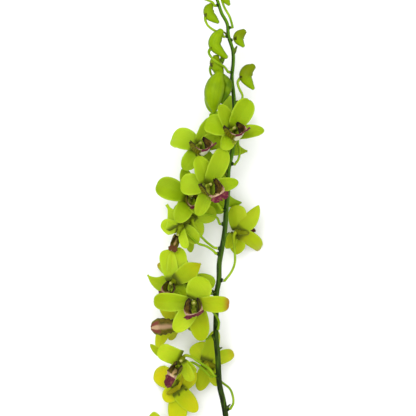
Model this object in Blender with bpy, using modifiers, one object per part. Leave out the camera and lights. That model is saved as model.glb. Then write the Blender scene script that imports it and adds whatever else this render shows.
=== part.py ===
"""Dendrobium orchid stem with 17 open blooms and 9 buds, cut and lying on a flat surface."""
import math

import bmesh
import bpy
from mathutils import Vector

MM = 0.001

# Positions are written on a plan, in millimetres: x to the right, y down the stem, z above the surface.
PLAN_MIDDLE_X = 205.2
PLAN_MIDDLE_Y = 246.8

# The blades of the tepals and lips
TEPAL_THICKNESS = 0.7
LIP_THICKNESS = 0.7
FRONT_GRID = (5, 2)
BACK_GRID = (4, 2)
CUPPED_GRID = (4, 4)
CUPPED_FROM = 0.6
FRONT_LIP_GRID = (6, 4)
BACK_LIP_GRID = (3, 4)

# The heart of a bloom
RECEPTACLE_RADIUS = 2.9
NECK_BACK = 3.6
NECK_RADIUS = 1.7
COLUMN_LENGTH = 9.0
COLUMN_RADIUS = 2.1
COLUMN_RISE = 0.4
CHIN_RADIUS = 2.6
CHIN_DOWN = 11.0
CHIN_BACK = 3.4
CHIN_TAPER = (1.0, 0.85, 0.5)
LIP_ROOT_DOWN = 11.0
LIP_ROOT_OUT = 4.0
LIP_GAP = 0.45

# The stalks
PEDICEL_RADIUS = 1.2
PEDICEL_STEP = 10.0
SEAT_GAP = 0.3
SEAT_RUN = 1.6

# The buds
BUD_SWELL = 0.9
BUD_STALK_DEPTH = 0.35
BUD_STALK_SHARE = 1.0
SHORT_STALK_SHARE = 0.7

# The bosses and bracts of the rachis
BOSS_RADIUS = 1.9
BOSS_HEIGHT = 1.3
BOSS_FLARE = 1.25
BUD_BOSS_SHARE = 0.75
BRACT_TAPER = 0.4

# How many pieces a smooth run has between two written points
RACHIS_SMOOTHING = 3
STALK_SMOOTHING = 6
BUD_SMOOTHING = 2

# How a tepal's half width runs from root to tip: width at the root, place of the widest point, bluntness
OUTLINES = {
    "petal": (0.30, 0.58, 2.4),
    "dorsal": (0.50, 0.50, 1.9),
    "lateral": (0.70, 0.42, 2.0),
    "point": (0.80, 0.20, 0.80),
}
NARROWEST_TIP = 0.12

# A lip from root to tip: place, half width as a share of its widest, roll of its sides in radians
LIP_WIDTH = 36.0
LIP_PROFILE = [
    (0.00, 0.14, 1.0),
    (0.10, 0.62, 2.0),
    (0.22, 1.08, 2.5),
    (0.44, 1.20, 2.75),
    (0.56, 1.00, 2.3),
    (0.64, 0.58, 1.2),
    (0.72, 0.46, 0.5),
    (0.84, 0.53, 0.2),
    (0.94, 0.46, 0.0),
    (1.00, 0.24, -0.1),
]
# A lip that has opened flat into a spoon
SPOON_PROFILE = [
    (0.00, 0.14, 0.8),
    (0.10, 0.36, 0.9),
    (0.30, 0.44, 0.9),
    (0.60, 0.53, 0.8),
    (0.78, 0.48, 0.7),
    (0.92, 0.30, 0.5),
    (1.00, 0.08, 0.3),
]
# The lip's midline: three steps from its root, as shares of its reach forward, of its rise towards
# the column, and of its reach down
LIP_RISE = 4.0
LIP_MIDLINE = [(0.25, -0.25, 0.0), (0.75, 1.1, 0.1), (1.0, 1.0, 1.0)]
# Places along a lip: where a widened one has its plain width, where it stops widening, where a twist starts
LIP_FLARE_MIDDLE = 0.4
LIP_FLARE_END = 0.56
LIP_TWIST_START = 0.45

# Where each kind's root lies from the bloom's centre: towards the lip, and towards the face
ROOT_DOWN = {"petal": 0.0, "dorsal": -1.0, "point": -1.0, "lateral": 2.2}
ROOT_OUT = {"petal": 0.9, "dorsal": -0.9, "point": -0.9, "lateral": -1.8}
SECOND_LATERAL_OUT = -0.9
ROOT_AWAY = 1.7
FLAT_ROOT = 0.35
FLAT_ANGLE = math.radians(1.2)

# The rachis: plan x, plan y, height of its axis, and radius
RACHIS = [
    (204.0, -31.0, 33.5, 0.9),
    (208.5, -20.0, 34.5, 1.1),
    (213.0, -9.0, 35.5, 1.4),
    (217.5, 1.0, 36.0, 1.6),
    (221.5, 13.0, 36.5, 1.7),
    (227.2, 24.0, 37.0, 1.7),
    (228.4, 36.0, 37.0, 1.8),
    (232.6, 50.0, 37.5, 1.8),
    (233.2, 62.0, 38.0, 1.8),
    (231.8, 78.0, 38.0, 1.9),
    (233.4, 94.0, 38.0, 2.0),
    (234.3, 110.0, 38.0, 2.1),
    (234.0, 130.0, 38.0, 2.1),
    (232.5, 150.0, 38.0, 2.2),
    (228.4, 170.0, 38.0, 2.3),
    (228.0, 190.0, 37.5, 2.4),
    (226.2, 210.0, 37.0, 2.5),
    (224.8, 231.0, 36.5, 2.5),
    (221.8, 249.0, 36.0, 2.6),
    (219.3, 264.0, 35.5, 2.6),
    (219.0, 280.0, 35.0, 2.6),
    (216.6, 294.0, 34.0, 2.6),
    (216.2, 313.0, 33.0, 2.6),
    (216.0, 336.0, 31.3, 2.7),
    (217.8, 357.0, 29.3, 2.8),
    (219.4, 384.0, 26.3, 2.8),
    (223.0, 401.0, 24.2, 2.9),
    (225.6, 416.0, 22.2, 2.9),
    (228.0, 440.0, 18.7, 3.0),
    (228.8, 470.0, 13.7, 3.1),
    (227.5, 500.0, 8.2, 3.2),
    (225.0, 530.0, 3.0, 3.2),
]
# Small scales on the rachis: plan x, plan y and height of the tip, plan y of the root, and radius
BRACTS = [
    (237.0, 46.0, 38.0, 55.0, 1.6),
    (223.2, 31.5, 39.0, 36.0, 1.1),
    (222.6, 169.5, 41.0, 175.5, 1.5),
    (237.6, 100.5, 39.5, 105.0, 1.2),
    (229.5, 232.0, 38.5, 238.0, 1.3),
    (211.6, 290.0, 36.0, 295.5, 1.6),
    (222.2, 347.5, 31.0, 352.5, 1.3),
    (211.8, 335.0, 33.5, 340.0, 1.4),
    (230.5, 404.5, 25.0, 410.5, 1.3),
]
CUT_PLACE = (226.0, 526.0, 3.0)
CUT_SLOPE = 0.6


def tepal(kind, tip, width, bow=(0.08, 0.10), cup=(0.3, 0.3), side=0.0, face=None, fill=None, blunt=None):
    """One tepal: its tip on the plan, its width in mm, and how it bends.

    bow lifts the first and the second third of its midline towards the face, as a share of its length.
    cup rolls its two halves towards the face, in radians at the edge, and side bends the midline sideways.
    face turns this tepal its own way, and fill is the share of its full width that it has at its root.
    blunt is how round its tip is, when it isn't as round as others of its kind.
    """
    return {"kind": kind, "tip": tip, "width": width, "bow": bow, "cup": cup,
            "side": side, "face": face, "fill": fill, "blunt": blunt}


# The blooms: centre, the way the face looks, the way the lip hangs, the plan y of the stalk's node, the
# stalk's way there, and the tepals. A lip has its reach forward and down, its share of the full width,
# how much it widens along it and how far its end is twisted, in radians. open is how far one of its side
# lobes has opened, as a share of its roll.
BLOOMS = [
    {"name": "bloom_01", "centre": (230.8, 132, 58), "facing": (0.42, -0.33, 0.85), "down": (0.22, 0.97, 0),
     "lip": (21, 3, 1.0, 0.0, -0.4), "open": 0.28, "grid": FRONT_GRID, "node": 143,
     "pedicel": [(236, 136, 51), (238, 142, 45)],
     "tepals": [
         tepal("dorsal", (219.5, 105.2, 62), 16.5, cup=(0.2, 0.3), fill=0.6),
         tepal("petal", (205.4, 123.5, 56), 24.5, fill=0.5),
         tepal("petal", (249.0, 100.3, 59), 21.5, fill=0.4),
         tepal("lateral", (264.0, 130.8, 58), 15.0),
         tepal("lateral", (222.0, 149.5, 64), 17.0, cup=(0.2, 0.9))]},
    {"name": "bloom_02", "centre": (197.3, 147, 50), "facing": (0.42, -0.33, 0.85), "down": (0.22, 0.97, 0),
     "lip": (21, 3, 1.0, 0.0, -0.4), "open": 0.28, "grid": FRONT_GRID, "node": 161,
     "pedicel": [(206, 151, 43), (216, 158, 38), (224, 161, 37.5)],
     "tepals": [
         tepal("dorsal", (211.5, 117.5, 46), 14.0),
         tepal("petal", (171.4, 139.5, 43), 26.0, bow=(0.12, 0.22), side=0.06, fill=0.6),
         tepal("petal", (225.0, 138.0, 47), 19.0, fill=0.5),
         tepal("lateral", (183.5, 169.5, 50), 17.5, fill=0.6),
         tepal("lateral", (213.0, 164.0, 45), 15.0, fill=0.8)]},
    {"name": "bloom_03", "centre": (207.2, 186.5, 61), "facing": (0.42, -0.17, 0.89), "down": (0.25, 0.96, 0),
     "lip": (19, 12, 1.0, 0.0, -0.4), "open": 0.35, "grid": FRONT_GRID, "node": 211,
     "pedicel": [(213, 193, 54), (216, 201, 47), (220, 207, 41)],
     "tepals": [
         tepal("dorsal", (197.5, 156.8, 64), 20.5, fill=0.5),
         tepal("petal", (180.8, 184.5, 60), 23.0, fill=0.4),
         tepal("petal", (224.0, 149.3, 60), 20.5, fill=0.5),
         tepal("lateral", (238.2, 182.0, 60), 15.0),
         tepal("lateral", (197.5, 215.5, 57), 16.0)]},
    {"name": "bloom_04", "centre": (188.5, 197.5, 40), "facing": (0.4, -0.15, 0.9), "down": (0.25, 0.96, 0),
     "lip": (11, 5, 0.8, 0.0, -0.4), "grid": FRONT_GRID, "node": 221,
     "pedicel": [(192, 206, 34), (204, 213, 34), (216, 217, 36)],
     "tepals": [
         tepal("dorsal", (183.5, 168.0, 38), 15.0),
         tepal("petal", (156.6, 184.8, 43), 24.0, fill=0.4),
         tepal("petal", (208.0, 181.0, 38), 18.0),
         tepal("lateral", (176.5, 222.0, 47), 19.0, fill=0.9),
         tepal("lateral", (203.0, 214.0, 38), 15.0)]},
    {"name": "bloom_05", "centre": (191.7, 219, 28), "facing": (-0.25, 0, -1), "down": (-0.9, 0.4, 0),
     "lip": (10, 4, 0.42, 0.0, 0.0), "grid": BACK_GRID, "node": 250,
     "pedicel": [(192.5, 222, 32), (197, 231, 35.5), (204, 239.6, 37), (213, 247, 36.5)],
     "tepals": [
         tepal("petal", (216.0, 212.0, 27), 18.0),
         tepal("lateral", (201.0, 237.0, 21), 21.0),
         tepal("petal", (176.0, 205.0, 26), 17.0),
         tepal("dorsal", (199.0, 194.0, 25), 14.0),
         tepal("lateral", (185.0, 234.0, 24), 12.0)]},
    {"name": "bloom_06", "centre": (236.8, 232, 24), "facing": (0.3, 0, -1), "down": (1, 0.1, 0),
     "lip": (12, 8, 0.6, 0.0, 0.0), "grid": BACK_GRID, "node": 280,
     "pedicel": [(233.6, 237, 29), (234.8, 251, 33), (234.8, 263, 35), (231, 272.5, 35.5)],
     "tepals": [
         tepal("petal", (236.5, 205.3, 20), 19.5, fill=0.5),
         tepal("lateral", (259.0, 205.3, 22), 17.0, side=-0.05, fill=0.5, blunt=1.45),
         tepal("lateral", (258.5, 251.0, 0.37), 16.0, bow=(-0.1, -0.25), side=0.2, fill=0.8, blunt=1.5),
         tepal("petal", (236.3, 254.6, 16), 17.5, fill=0.6, blunt=1.6),
         tepal("dorsal", (225.8, 248.5, 18), 13.0, blunt=1.6)]},
    {"name": "bloom_07", "centre": (180.5, 227.5, 39), "facing": (-0.31, 0.83, 0.44), "down": (0.0, 0.1, -1.0),
     "lip": (20, 2, 0.5, 0.0, 0.0), "grid": FRONT_GRID, "node": 256,
     "pedicel": [(184, 230, 40), (197, 242.6, 40.5), (206, 246, 40.5), (213, 250.5, 39)],
     "tepals": [
         tepal("point", (166.6, 204.5, 35), 27.0, face=(0, 0, 1), cup=(0.3, 0.3)),
         tepal("petal", (161.0, 227.5, 35), 17.0, face=(-0.3, 0.3, 1), side=0.12, fill=0.6, blunt=1.6),
         tepal("petal", (187.5, 247.5, 51), 12.0, face=(-1, 0, 1.2), cup=(0.4, 0.4), fill=0.6),
         tepal("lateral", (198.0, 243.0, 36), 15.0, side=-0.05, face=(0, 0, 1)),
         tepal("lateral", (190.5, 252.5, 20), 11.0, bow=(-0.08, -0.04), side=-0.1, face=(0, 0, 1))]},
    {"name": "bloom_08", "centre": (174, 281, 42), "facing": (-0.4, 0.3, 0.85), "down": (-0.3, 0.9, -0.3),
     "lip": (13, 5, 0.72, 0.6, 0.0), "grid": FRONT_GRID, "node": 294,
     "pedicel": [(180, 284, 35), (194, 290, 33), (206, 293, 33)],
     "tepals": [
         tepal("petal", (165.5, 250.0, 34), 17.0, face=(0, 0, 1), fill=0.8),
         tepal("dorsal", (179.5, 247.5, 33), 20.0, face=(0, 0, 1), fill=0.8),
         tepal("petal", (200.8, 263.6, 36), 19.0, face=(0, 0, 1), fill=0.6, blunt=1.15),
         tepal("lateral", (147.4, 274.8, 34), 17.0, bow=(-0.08, 0.0), face=(-0.2, 0.2, 1), side=-0.25,
               blunt=1.05),
         tepal("lateral", (184.5, 301.0, 36), 15.0, face=(0, 0, 1), cup=(0.2, 0.6))]},
    {"name": "bloom_09", "centre": (194, 302.5, 58), "facing": (0, 0.1, 1), "down": (0.05, 1, 0),
     "lip": (14, 5, 0.95, 1.0, -0.5), "grid": FRONT_GRID, "node": 330,
     "pedicel": [(200, 305, 52), (208, 308, 46), (214, 313, 42), (218.8, 321, 39)],
     "tepals": [
         tepal("dorsal", (203.5, 277.0, 56), 26.0, fill=0.6),
         tepal("petal", (154.0, 300.5, 52), 19.0, fill=0.5),
         tepal("petal", (229.0, 303.5, 50), 17.0, bow=(0.1, 0.25), fill=0.6),
         tepal("lateral", (175.0, 331.0, 54), 19.0, fill=0.9),
         tepal("lateral", (201.0, 340.5, 44), 20.5, side=-0.06, fill=0.9)]},
    {"name": "bloom_10", "centre": (182, 324, 30), "facing": (-0.98, 0.1, -0.1), "down": (0.0, 0.1, 1),
     "lip": (27, 0.5, 1.0, 0.0, 0.0), "grid": FRONT_GRID, "node": 339,
     "pedicel": [(187, 327, 30), (193, 331.5, 30), (201, 336.5, 30), (207, 339, 30.5)],
     "tepals": [
         tepal("lateral", (160.0, 308.5, 12), 15.0, bow=(0.1, 0.1), face=(0, 0, -1)),
         tepal("lateral", (158.0, 350.5, 12), 15.0, bow=(0.15, 0.12), face=(0, 0, -1), side=-0.3, fill=0.8),
         tepal("petal", (183.0, 298.0, 22), 15.0, face=(0, 0, -1)),
         tepal("petal", (171.0, 341.0, 8), 12.0, face=(-0.6, 0, -1)),
         tepal("dorsal", (204.0, 315.0, 20), 13.0, face=(0, 0, -1))]},
    {"name": "bloom_11", "centre": (182.5, 358, 50), "facing": (-0.2, 0.3, 0.93), "down": (-0.5, 0.86, 0),
     "lip": (11, 22, 0.66, 0.5, -1.0), "grid": FRONT_GRID, "node": 373,
     "pedicel": [(186, 355.0, 45), (192, 357.0, 43), (200, 362.5, 39.5), (210, 369.6, 35.5)],
     "tepals": [
         tepal("petal", (158.5, 348.0, 53), 19.0, fill=0.9, cup=(0.2, 0.2)),
         tepal("dorsal", (150.5, 343.8, 45), 10.0, side=-0.16),
         tepal("petal", (192.0, 380.5, 46), 12.0),
         tepal("lateral", (196.0, 371.5, 41), 10.0, cup=(0.2, 0.9)),
         tepal("lateral", (168.5, 382.0, 41), 13.0)]},
    {"name": "bloom_12", "centre": (206.3, 364, 17), "facing": (0, 0, -1), "down": (0.9, 0.3, 0),
     "lip": (10, 4, 0.42, 0.0, 0.0), "grid": BACK_GRID, "node": 410,
     "pedicel": [(211, 371, 19), (221, 382, 19), (229.6, 389, 19), (233, 397, 19.5), (233.3, 404, 20.5)],
     "tepals": [
         tepal("petal", (195.5, 344.0, 14), 21.0, fill=0.5),
         tepal("dorsal", (217.0, 330.5, 14), 15.0, fill=0.8),
         tepal("petal", (233.8, 353.5, 14), 14.0, fill=0.6),
         tepal("lateral", (199.0, 391.5, 12), 16.0, fill=0.8),
         tepal("lateral", (217.0, 387.0, 12), 12.0)]},
    {"name": "bloom_13", "centre": (178.4, 388, 20), "facing": (0, 0, -1), "down": (-0.87, 0.5, 0),
     "lip": (10, 4, 0.42, 0.0, 0.0), "grid": BACK_GRID, "node": 378,
     "pedicel": [(182, 380, 26), (184.5, 368, 30), (192, 362.5, 32), (203, 369.5, 29.5), (211, 377, 26.5)],
     "tepals": [
         tepal("petal", (155.0, 371.5, 0.41), 21.0, bow=(-0.05, -0.15), fill=0.5),
         tepal("lateral", (164.0, 401.5, 17), 17.0, fill=0.8),
         tepal("petal", (177.0, 424.0, 14), 20.0, fill=0.5),
         tepal("lateral", (197.0, 412.5, 14), 18.0, fill=0.8),
         tepal("dorsal", (195.0, 371.0, 15), 19.0, fill=0.8)]},
    {"name": "bloom_14", "centre": (176, 446, 20), "facing": (-0.3, 0.3, 0.9), "down": (-0.3, 0.9, 0),
     "lip": (11, 12, 0.8, 0.0, 0.0), "grid": BACK_GRID, "node": 468,
     "pedicel": [(181, 451, 15), (195, 460, 12), (208, 465, 12), (219, 468, 12.5)],
     "tepals": [
         tepal("petal", (151.0, 414.5, 8), 17.0),
         tepal("dorsal", (177.0, 419.0, 5), 13.0),
         tepal("petal", (203.0, 437.0, 16), 19.0),
         tepal("lateral", (157.0, 467.0, 15), 14.0),
         tepal("lateral", (187.0, 475.0, 15), 14.0)]},
    {"name": "bloom_15", "centre": (231, 124, 22), "facing": (0, 0, -1), "down": (-0.55, 0.83, 0),
     "lip": (10, 4, 0.42, 0.0, 0.0), "grid": BACK_GRID, "node": 165,
     "pedicel": [(234, 130, 25), (238, 143, 29), (239.5, 152, 33), (238.5, 159, 36)],
     "tepals": [
         tepal("dorsal", (228.5, 94.0, 0.38), 15.0, bow=(-0.1, -0.15)),
         tepal("petal", (209.0, 116.0, 18), 17.0),
         tepal("petal", (250.0, 108.0, 18), 17.0),
         tepal("lateral", (247.5, 151.0, 24), 20.0, side=-0.5, blunt=1.3),
         tepal("lateral", (212.0, 142.0, 18), 14.0)]},
    {"name": "bloom_16", "centre": (220, 188, 19), "facing": (0, 0, -1), "down": (-0.9, 0.3, 0),
     "lip": (10, 4, 0.42, 0.0, 0.0), "grid": BACK_GRID, "node": 189,
     "pedicel": [(218, 191, 24), (217, 194, 30), (220, 192, 35)],
     "tepals": [
         tepal("lateral", (241.8, 202.5, 14), 12.5, side=-0.28, blunt=1.5),
         tepal("petal", (206.0, 168.0, 16), 18.0),
         tepal("petal", (217.0, 214.0, 16), 19.0),
         tepal("dorsal", (225.0, 162.0, 16), 13.0),
         tepal("lateral", (196.0, 195.0, 14), 14.0)]},
    {"name": "bloom_17", "centre": (188, 278, 20), "facing": (0, 0, -1), "down": (-0.9, 0.3, 0),
     "lip": (10, 4, 0.42, 0.0, 0.0), "grid": BACK_GRID, "node": 301,
     "pedicel": [(194, 283, 24), (204, 292, 28), (210, 298, 30)],
     "tepals": [
         tepal("petal", (215.0, 284.0, 18), 16.0),
         tepal("lateral", (157.3, 264.5, 0.40), 13.0, bow=(-0.1, -0.15)),
         tepal("petal", (176.0, 256.0, 16), 16.0),
         tepal("lateral", (172.0, 296.0, 16), 14.0),
         tepal("dorsal", (204.0, 300.0, 14), 13.0)]},
]

# The buds: the spine from the rounded apex to the chin's point, with radii, and the stalk
BUDS = [
    {"name": "bud_01", "node": 120,
     "spine": [(219.5, 74.5, 49, 3.5), (216.5, 83, 50, 8.0), (214.0, 93, 50, 9.0), (213.5, 103, 49, 6.5),
               (214, 112, 48, 1.5)],
     "lobe": [(222.5, 77, 47, 3.5), (227.6, 84, 46.5, 4.8), (226.2, 92, 46.5, 4.6), (221.5, 103, 47, 1.6)],
     "pedicel": [(209, 88, 46), (205.8, 97, 45), (206.4, 104, 45), (210, 110.8, 44), (218, 116, 42),
                 (226, 119, 40)]},
    {"name": "bud_02", "node": 108,
     "spine": [(253, 66.5, 38, 2.4), (248, 70.5, 38, 5.4), (245.6, 76.5, 38, 5.6), (249, 83, 38, 3.6),
               (253.3, 88.6, 38, 0.9)],
     "pedicel": [(240.5, 78, 38), (237.6, 82.5, 38), (239.6, 89.5, 38), (242.6, 96, 38), (240.5, 104, 38)]},
    {"name": "bud_03", "node": 88,
     "spine": [(216, 57.5, 41, 2.6), (215.4, 63, 41, 5.0), (218.5, 70, 40, 4.6), (221.5, 78, 39, 1.6)],
     "lobe": [(217.0, 68, 38, 2.5), (221.0, 61.5, 37, 2.9), (224.6, 55, 36.5, 1.6)],
     "pedicel": [(211.6, 65, 41), (210, 70, 39), (212, 76, 36), (219, 83, 35), (226, 87, 37)]},
    {"name": "bud_04", "node": 71,
     "spine": [(221, 31.5, 44, 2.4), (216.5, 38, 44, 5.2), (214.6, 45, 44, 5.4), (219.4, 51.4, 44, 3.8),
               (226.3, 57.5, 43, 1.2)],
     "pedicel": [(211.5, 48, 46), (208.8, 52.5, 47.5), (211.5, 58, 50), (217.3, 63, 49.5), (224, 67, 45)]},
    {"name": "bud_05", "node": 39,
     "spine": [(244, 31.5, 37, 2.2), (239.8, 35.3, 37, 4.6), (238.8, 39.8, 37, 4.2), (243.3, 46.2, 37, 0.9)],
     "pedicel": [(235.5, 38.5, 37)]},
    {"name": "bud_06", "node": 34.5,
     "spine": [(211.2, 5.0, 35, 1.8), (208.9, 9, 35, 4.2), (209.4, 14.4, 35, 4.6), (213.8, 18.7, 35.5, 3.2),
               (218, 22.3, 36, 0.9)],
     "pedicel": [(205.9, 15.5, 35.5), (205.3, 20, 36), (208.5, 26.3, 37), (215.3, 31, 37.5), (222, 33.5, 37.5)]},
    {"name": "bud_07", "node": 27,
     "spine": [(226.5, -15, 37, 1.8), (223.6, -8.5, 37, 4.2), (225.6, -1, 37, 3.4), (229, 4.6, 37, 0.8)],
     "pedicel": [(220.9, -4, 37), (224, 6.6, 37.5), (229, 15.5, 38), (231.2, 21.5, 37.5)]},
    {"name": "bud_08", "node": 4,
     "spine": [(199.5, -18.5, 36, 1.4), (197.4, -13.5, 36, 3.2), (199.6, -8.5, 36, 2.4), (203.3, -5.5, 36, 0.7)],
     "pedicel": [(195.5, -10.5, 37), (198.5, -3.5, 38.5), (206.5, 0.0, 40), (212.5, 2.5, 38.5)]},
    {"name": "bud_09", "node": -17,
     "spine": [(219.0, -33, 35, 1.0), (216.6, -29, 35, 2.5), (218.4, -24.5, 35, 1.8), (221.5, -21.5, 35, 0.6)],
     "pedicel": [(214.8, -26.5, 35), (214.2, -21, 35)]},
]

# The colours: red, green, blue and roughness
MATERIALS = {
    "stem": ((0.045, 0.125, 0.012), 0.5),
    "tepal": ((0.33, 0.55, 0.01), 0.5),
    "tepal_old": ((0.52, 0.56, 0.01), 0.5),
    "lip": ((0.12, 0.025, 0.035), 0.5),
    "bud": ((0.22, 0.36, 0.01), 0.45),
}
OLD_BLOOMS = ("bloom_10", "bloom_12", "bloom_13")
SPOONS = ("bloom_10",)


def place(x, y, z):
    """A point of the plan in the model's frame, in metres."""
    return Vector((x - PLAN_MIDDLE_X, PLAN_MIDDLE_Y - y, z)) * MM


def heading(x, y, z):
    """A direction of the plan in the model's frame."""
    return Vector((x, -y, z)).normalized()


def material(name):
    """The Principled material of one kind of tissue."""
    found = bpy.data.materials.get(name)
    if found:
        return found
    colour, roughness = MATERIALS[name]
    made = bpy.data.materials.new(name)
    made.use_nodes = True
    shader = made.node_tree.nodes["Principled BSDF"]
    shader.inputs["Base Color"].default_value = (*colour, 1.0)
    shader.inputs["Roughness"].default_value = roughness
    shader.inputs["Metallic"].default_value = 0.0
    return made


def across(axis, hint):
    """The part of hint that stands square to axis, as a unit vector."""
    return (hint - axis * hint.dot(axis)).normalized()


def catmull(points, steps):
    """A smooth run through the points, with steps pieces between each two; works on tuples of any length."""
    rows = [tuple(p) for p in points]
    rows = [tuple(2 * a - b for a, b in zip(rows[0], rows[1]))] + rows
    rows.append(tuple(2 * a - b for a, b in zip(rows[-1], rows[-2])))
    out = []
    for i in range(1, len(rows) - 2):
        p0, p1, p2, p3 = rows[i - 1:i + 3]
        for k in range(steps):
            t = k / steps
            out.append(tuple(
                0.5 * (2 * b + (c - a) * t + (2 * a - 5 * b + 4 * c - d) * t * t
                       + (3 * b - a - 3 * c + d) * t ** 3)
                for a, b, c, d in zip(p0, p1, p2, p3)))
    out.append(rows[-2])
    return out


def length_of(points):
    """The length of a run of points."""
    return sum((b - a).length for a, b in zip(points, points[1:]))


def even(points, count):
    """count + 1 points spaced evenly along a dense run."""
    total = length_of(points)
    out = [points[0]]
    walked = 0.0
    for a, b in zip(points, points[1:]):
        step = (b - a).length
        while len(out) < count and walked + step >= total * len(out) / count:
            share = (total * len(out) / count - walked) / step
            out.append(a.lerp(b, share))
        walked += step
    out.append(points[-1])
    return out


def new_object(name, mesh, collection):
    """A mesh object in a collection."""
    made = bpy.data.objects.new(name, mesh)
    collection.objects.link(made)
    return made


def tube(name, points, radii, resolution, collection):
    """A closed tube along the points, as a mesh."""
    curve = bpy.data.curves.new(name, "CURVE")
    curve.dimensions = "3D"
    curve.bevel_depth = 1.0
    curve.bevel_resolution = resolution
    curve.use_fill_caps = True
    spline = curve.splines.new("POLY")
    spline.points.add(len(points) - 1)
    for point, where, radius in zip(spline.points, points, radii):
        point.co = (*where, 1.0)
        point.radius = radius
    holder = new_object(name + "_curve", curve, collection)
    mesh = bpy.data.meshes.new_from_object(holder.evaluated_get(bpy.context.evaluated_depsgraph_get()))
    bpy.data.objects.remove(holder)
    work = bmesh.new()
    work.from_mesh(mesh)
    bmesh.ops.remove_doubles(work, verts=work.verts, dist=1e-6)
    bmesh.ops.recalc_face_normals(work, faces=work.faces)
    work.to_mesh(mesh)
    work.free()
    return new_object(name, mesh, collection)


def blade(name, surface, grid, thickness, collection):
    """A thin closed blade: an open grid laid on a surface(along, side), split into triangles and thickened."""
    work = bmesh.new()
    bmesh.ops.create_grid(work, x_segments=grid[0], y_segments=grid[1], size=1.0)
    for vert in work.verts:
        rise = math.sin(0.25 * math.pi * (vert.co.x + 1.0))
        vert.co = surface(rise, vert.co.y)
    bmesh.ops.triangulate(work, faces=work.faces)
    mesh = bpy.data.meshes.new(name)
    work.to_mesh(mesh)
    work.free()
    made = new_object(name, mesh, collection)
    solidify = made.modifiers.new("thickness", "SOLIDIFY")
    solidify.thickness = thickness * MM
    solidify.offset = 0.0
    return made


def fuse(name, core, collection):
    """Join a core object and all objects of a collection into one body, and remove the collection."""
    union = core.modifiers.new("union", "BOOLEAN")
    union.operation = "UNION"
    union.operand_type = "COLLECTION"
    union.solver = "EXACT"
    union.collection = collection
    mesh = bpy.data.meshes.new_from_object(core.evaluated_get(bpy.context.evaluated_depsgraph_get()))
    for loose in list(collection.objects):
        bpy.data.objects.remove(loose)
    bpy.data.collections.remove(collection)
    bpy.data.objects.remove(core)
    keep_largest(mesh)
    mesh.name = name
    return new_object(name, mesh, PARTS)


def keep_largest(mesh):
    """Weld a fused mesh, and drop the scraps and sealed pockets that are not the main shell."""
    work = bmesh.new()
    work.from_mesh(mesh)
    bmesh.ops.remove_doubles(work, verts=work.verts, dist=2e-6)
    bmesh.ops.dissolve_degenerate(work, edges=work.edges, dist=2e-6)
    bmesh.ops.triangulate(work, faces=work.faces)
    left = set(work.faces)
    shells = []
    while left:
        stack = [left.pop()]
        shell = list(stack)
        while stack:
            for edge in stack.pop().edges:
                for other in edge.link_faces:
                    if other in left:
                        left.remove(other)
                        stack.append(other)
                        shell.append(other)
        shells.append(shell)
    shells.sort(key=len)
    scraps = [face for shell in shells[:-1] for face in shell]
    bmesh.ops.delete(work, geom=scraps, context="FACES")
    bmesh.ops.dissolve_limit(work, angle_limit=FLAT_ANGLE, verts=work.verts, edges=work.edges)
    bmesh.ops.triangulate(work, faces=work.faces)
    work.to_mesh(mesh)
    work.free()


def outline(spec, along):
    """The share of a tepal's half width at a place between its root and its tip."""
    root, peak, blunt = OUTLINES[spec["kind"]]
    root = spec["fill"] or root
    blunt = spec["blunt"] or blunt
    if along < peak:
        return root + (1.0 - root) * math.sin(0.5 * math.pi * along / peak)
    late = (along - peak) / (1.0 - peak)
    return max((1.0 - late ** blunt) ** (1.0 / blunt), NARROWEST_TIP)


def rolled(half, roll, side):
    """Offset sideways and offset towards the face, of a place on a cross-section that is rolled up."""
    if abs(roll) < 0.02:
        return half * side, 0.0
    angle = roll * abs(side)
    return math.copysign(half * math.sin(angle) / roll, side), half * (1.0 - math.cos(angle)) / roll


def bezier(p0, p1, p2, p3, t):
    """A point and the tangent of a cubic curve."""
    s = 1.0 - t
    point = p0 * s ** 3 + p1 * 3 * s * s * t + p2 * 3 * s * t * t + p3 * t ** 3
    tangent = (p1 - p0) * s * s + (p2 - p1) * 2 * s * t + (p3 - p2) * t * t
    return point, tangent.normalized()


def tepal_surface(root, spec, facing):
    """The surface of a tepal, as a function of the place along it and across it."""
    tip = place(*spec["tip"])
    run = tip - root
    axis = run.normalized()
    face = across(axis, heading(*spec["face"]) if spec["face"] else facing)
    edge = axis.cross(face)
    first = root + run / 3 + (face * spec["bow"][0] + edge * spec["side"]) * run.length
    second = root + run * 2 / 3 + (face * spec["bow"][1] + edge * spec["side"]) * run.length
    half = spec["width"] * MM / 2

    def surface(along, side):
        point, tangent = bezier(root, first, second, tip, along)
        wide = across(tangent, edge)
        up = wide.cross(tangent)
        roll = (spec["cup"][0] if side < 0 else spec["cup"][1]) * min(along / FLAT_ROOT, 1.0)
        sideways, lift = rolled(half * outline(spec, along), roll, side)
        return point + wide * sideways + up * lift

    return surface


def turned(way, other, angle):
    """A direction turned by an angle towards another at right angles to it."""
    return way * math.cos(angle) + other * math.sin(angle)


def lip_profile(rows, along):
    """The lip's half width and roll at a place along it."""
    for low, high in zip(rows, rows[1:]):
        if along <= high[0]:
            share = (along - low[0]) / (high[0] - low[0])
            return tuple(a + (b - a) * share for a, b in zip(low[1:], high[1:]))
    return rows[-1][1:]


def lip_root(bloom):
    """Where a bloom's lip starts, just in front of its hinge on the chin."""
    centre, facing, down = frame_of(bloom)
    return centre + (down * LIP_ROOT_DOWN + facing * LIP_ROOT_OUT) * MM


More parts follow.
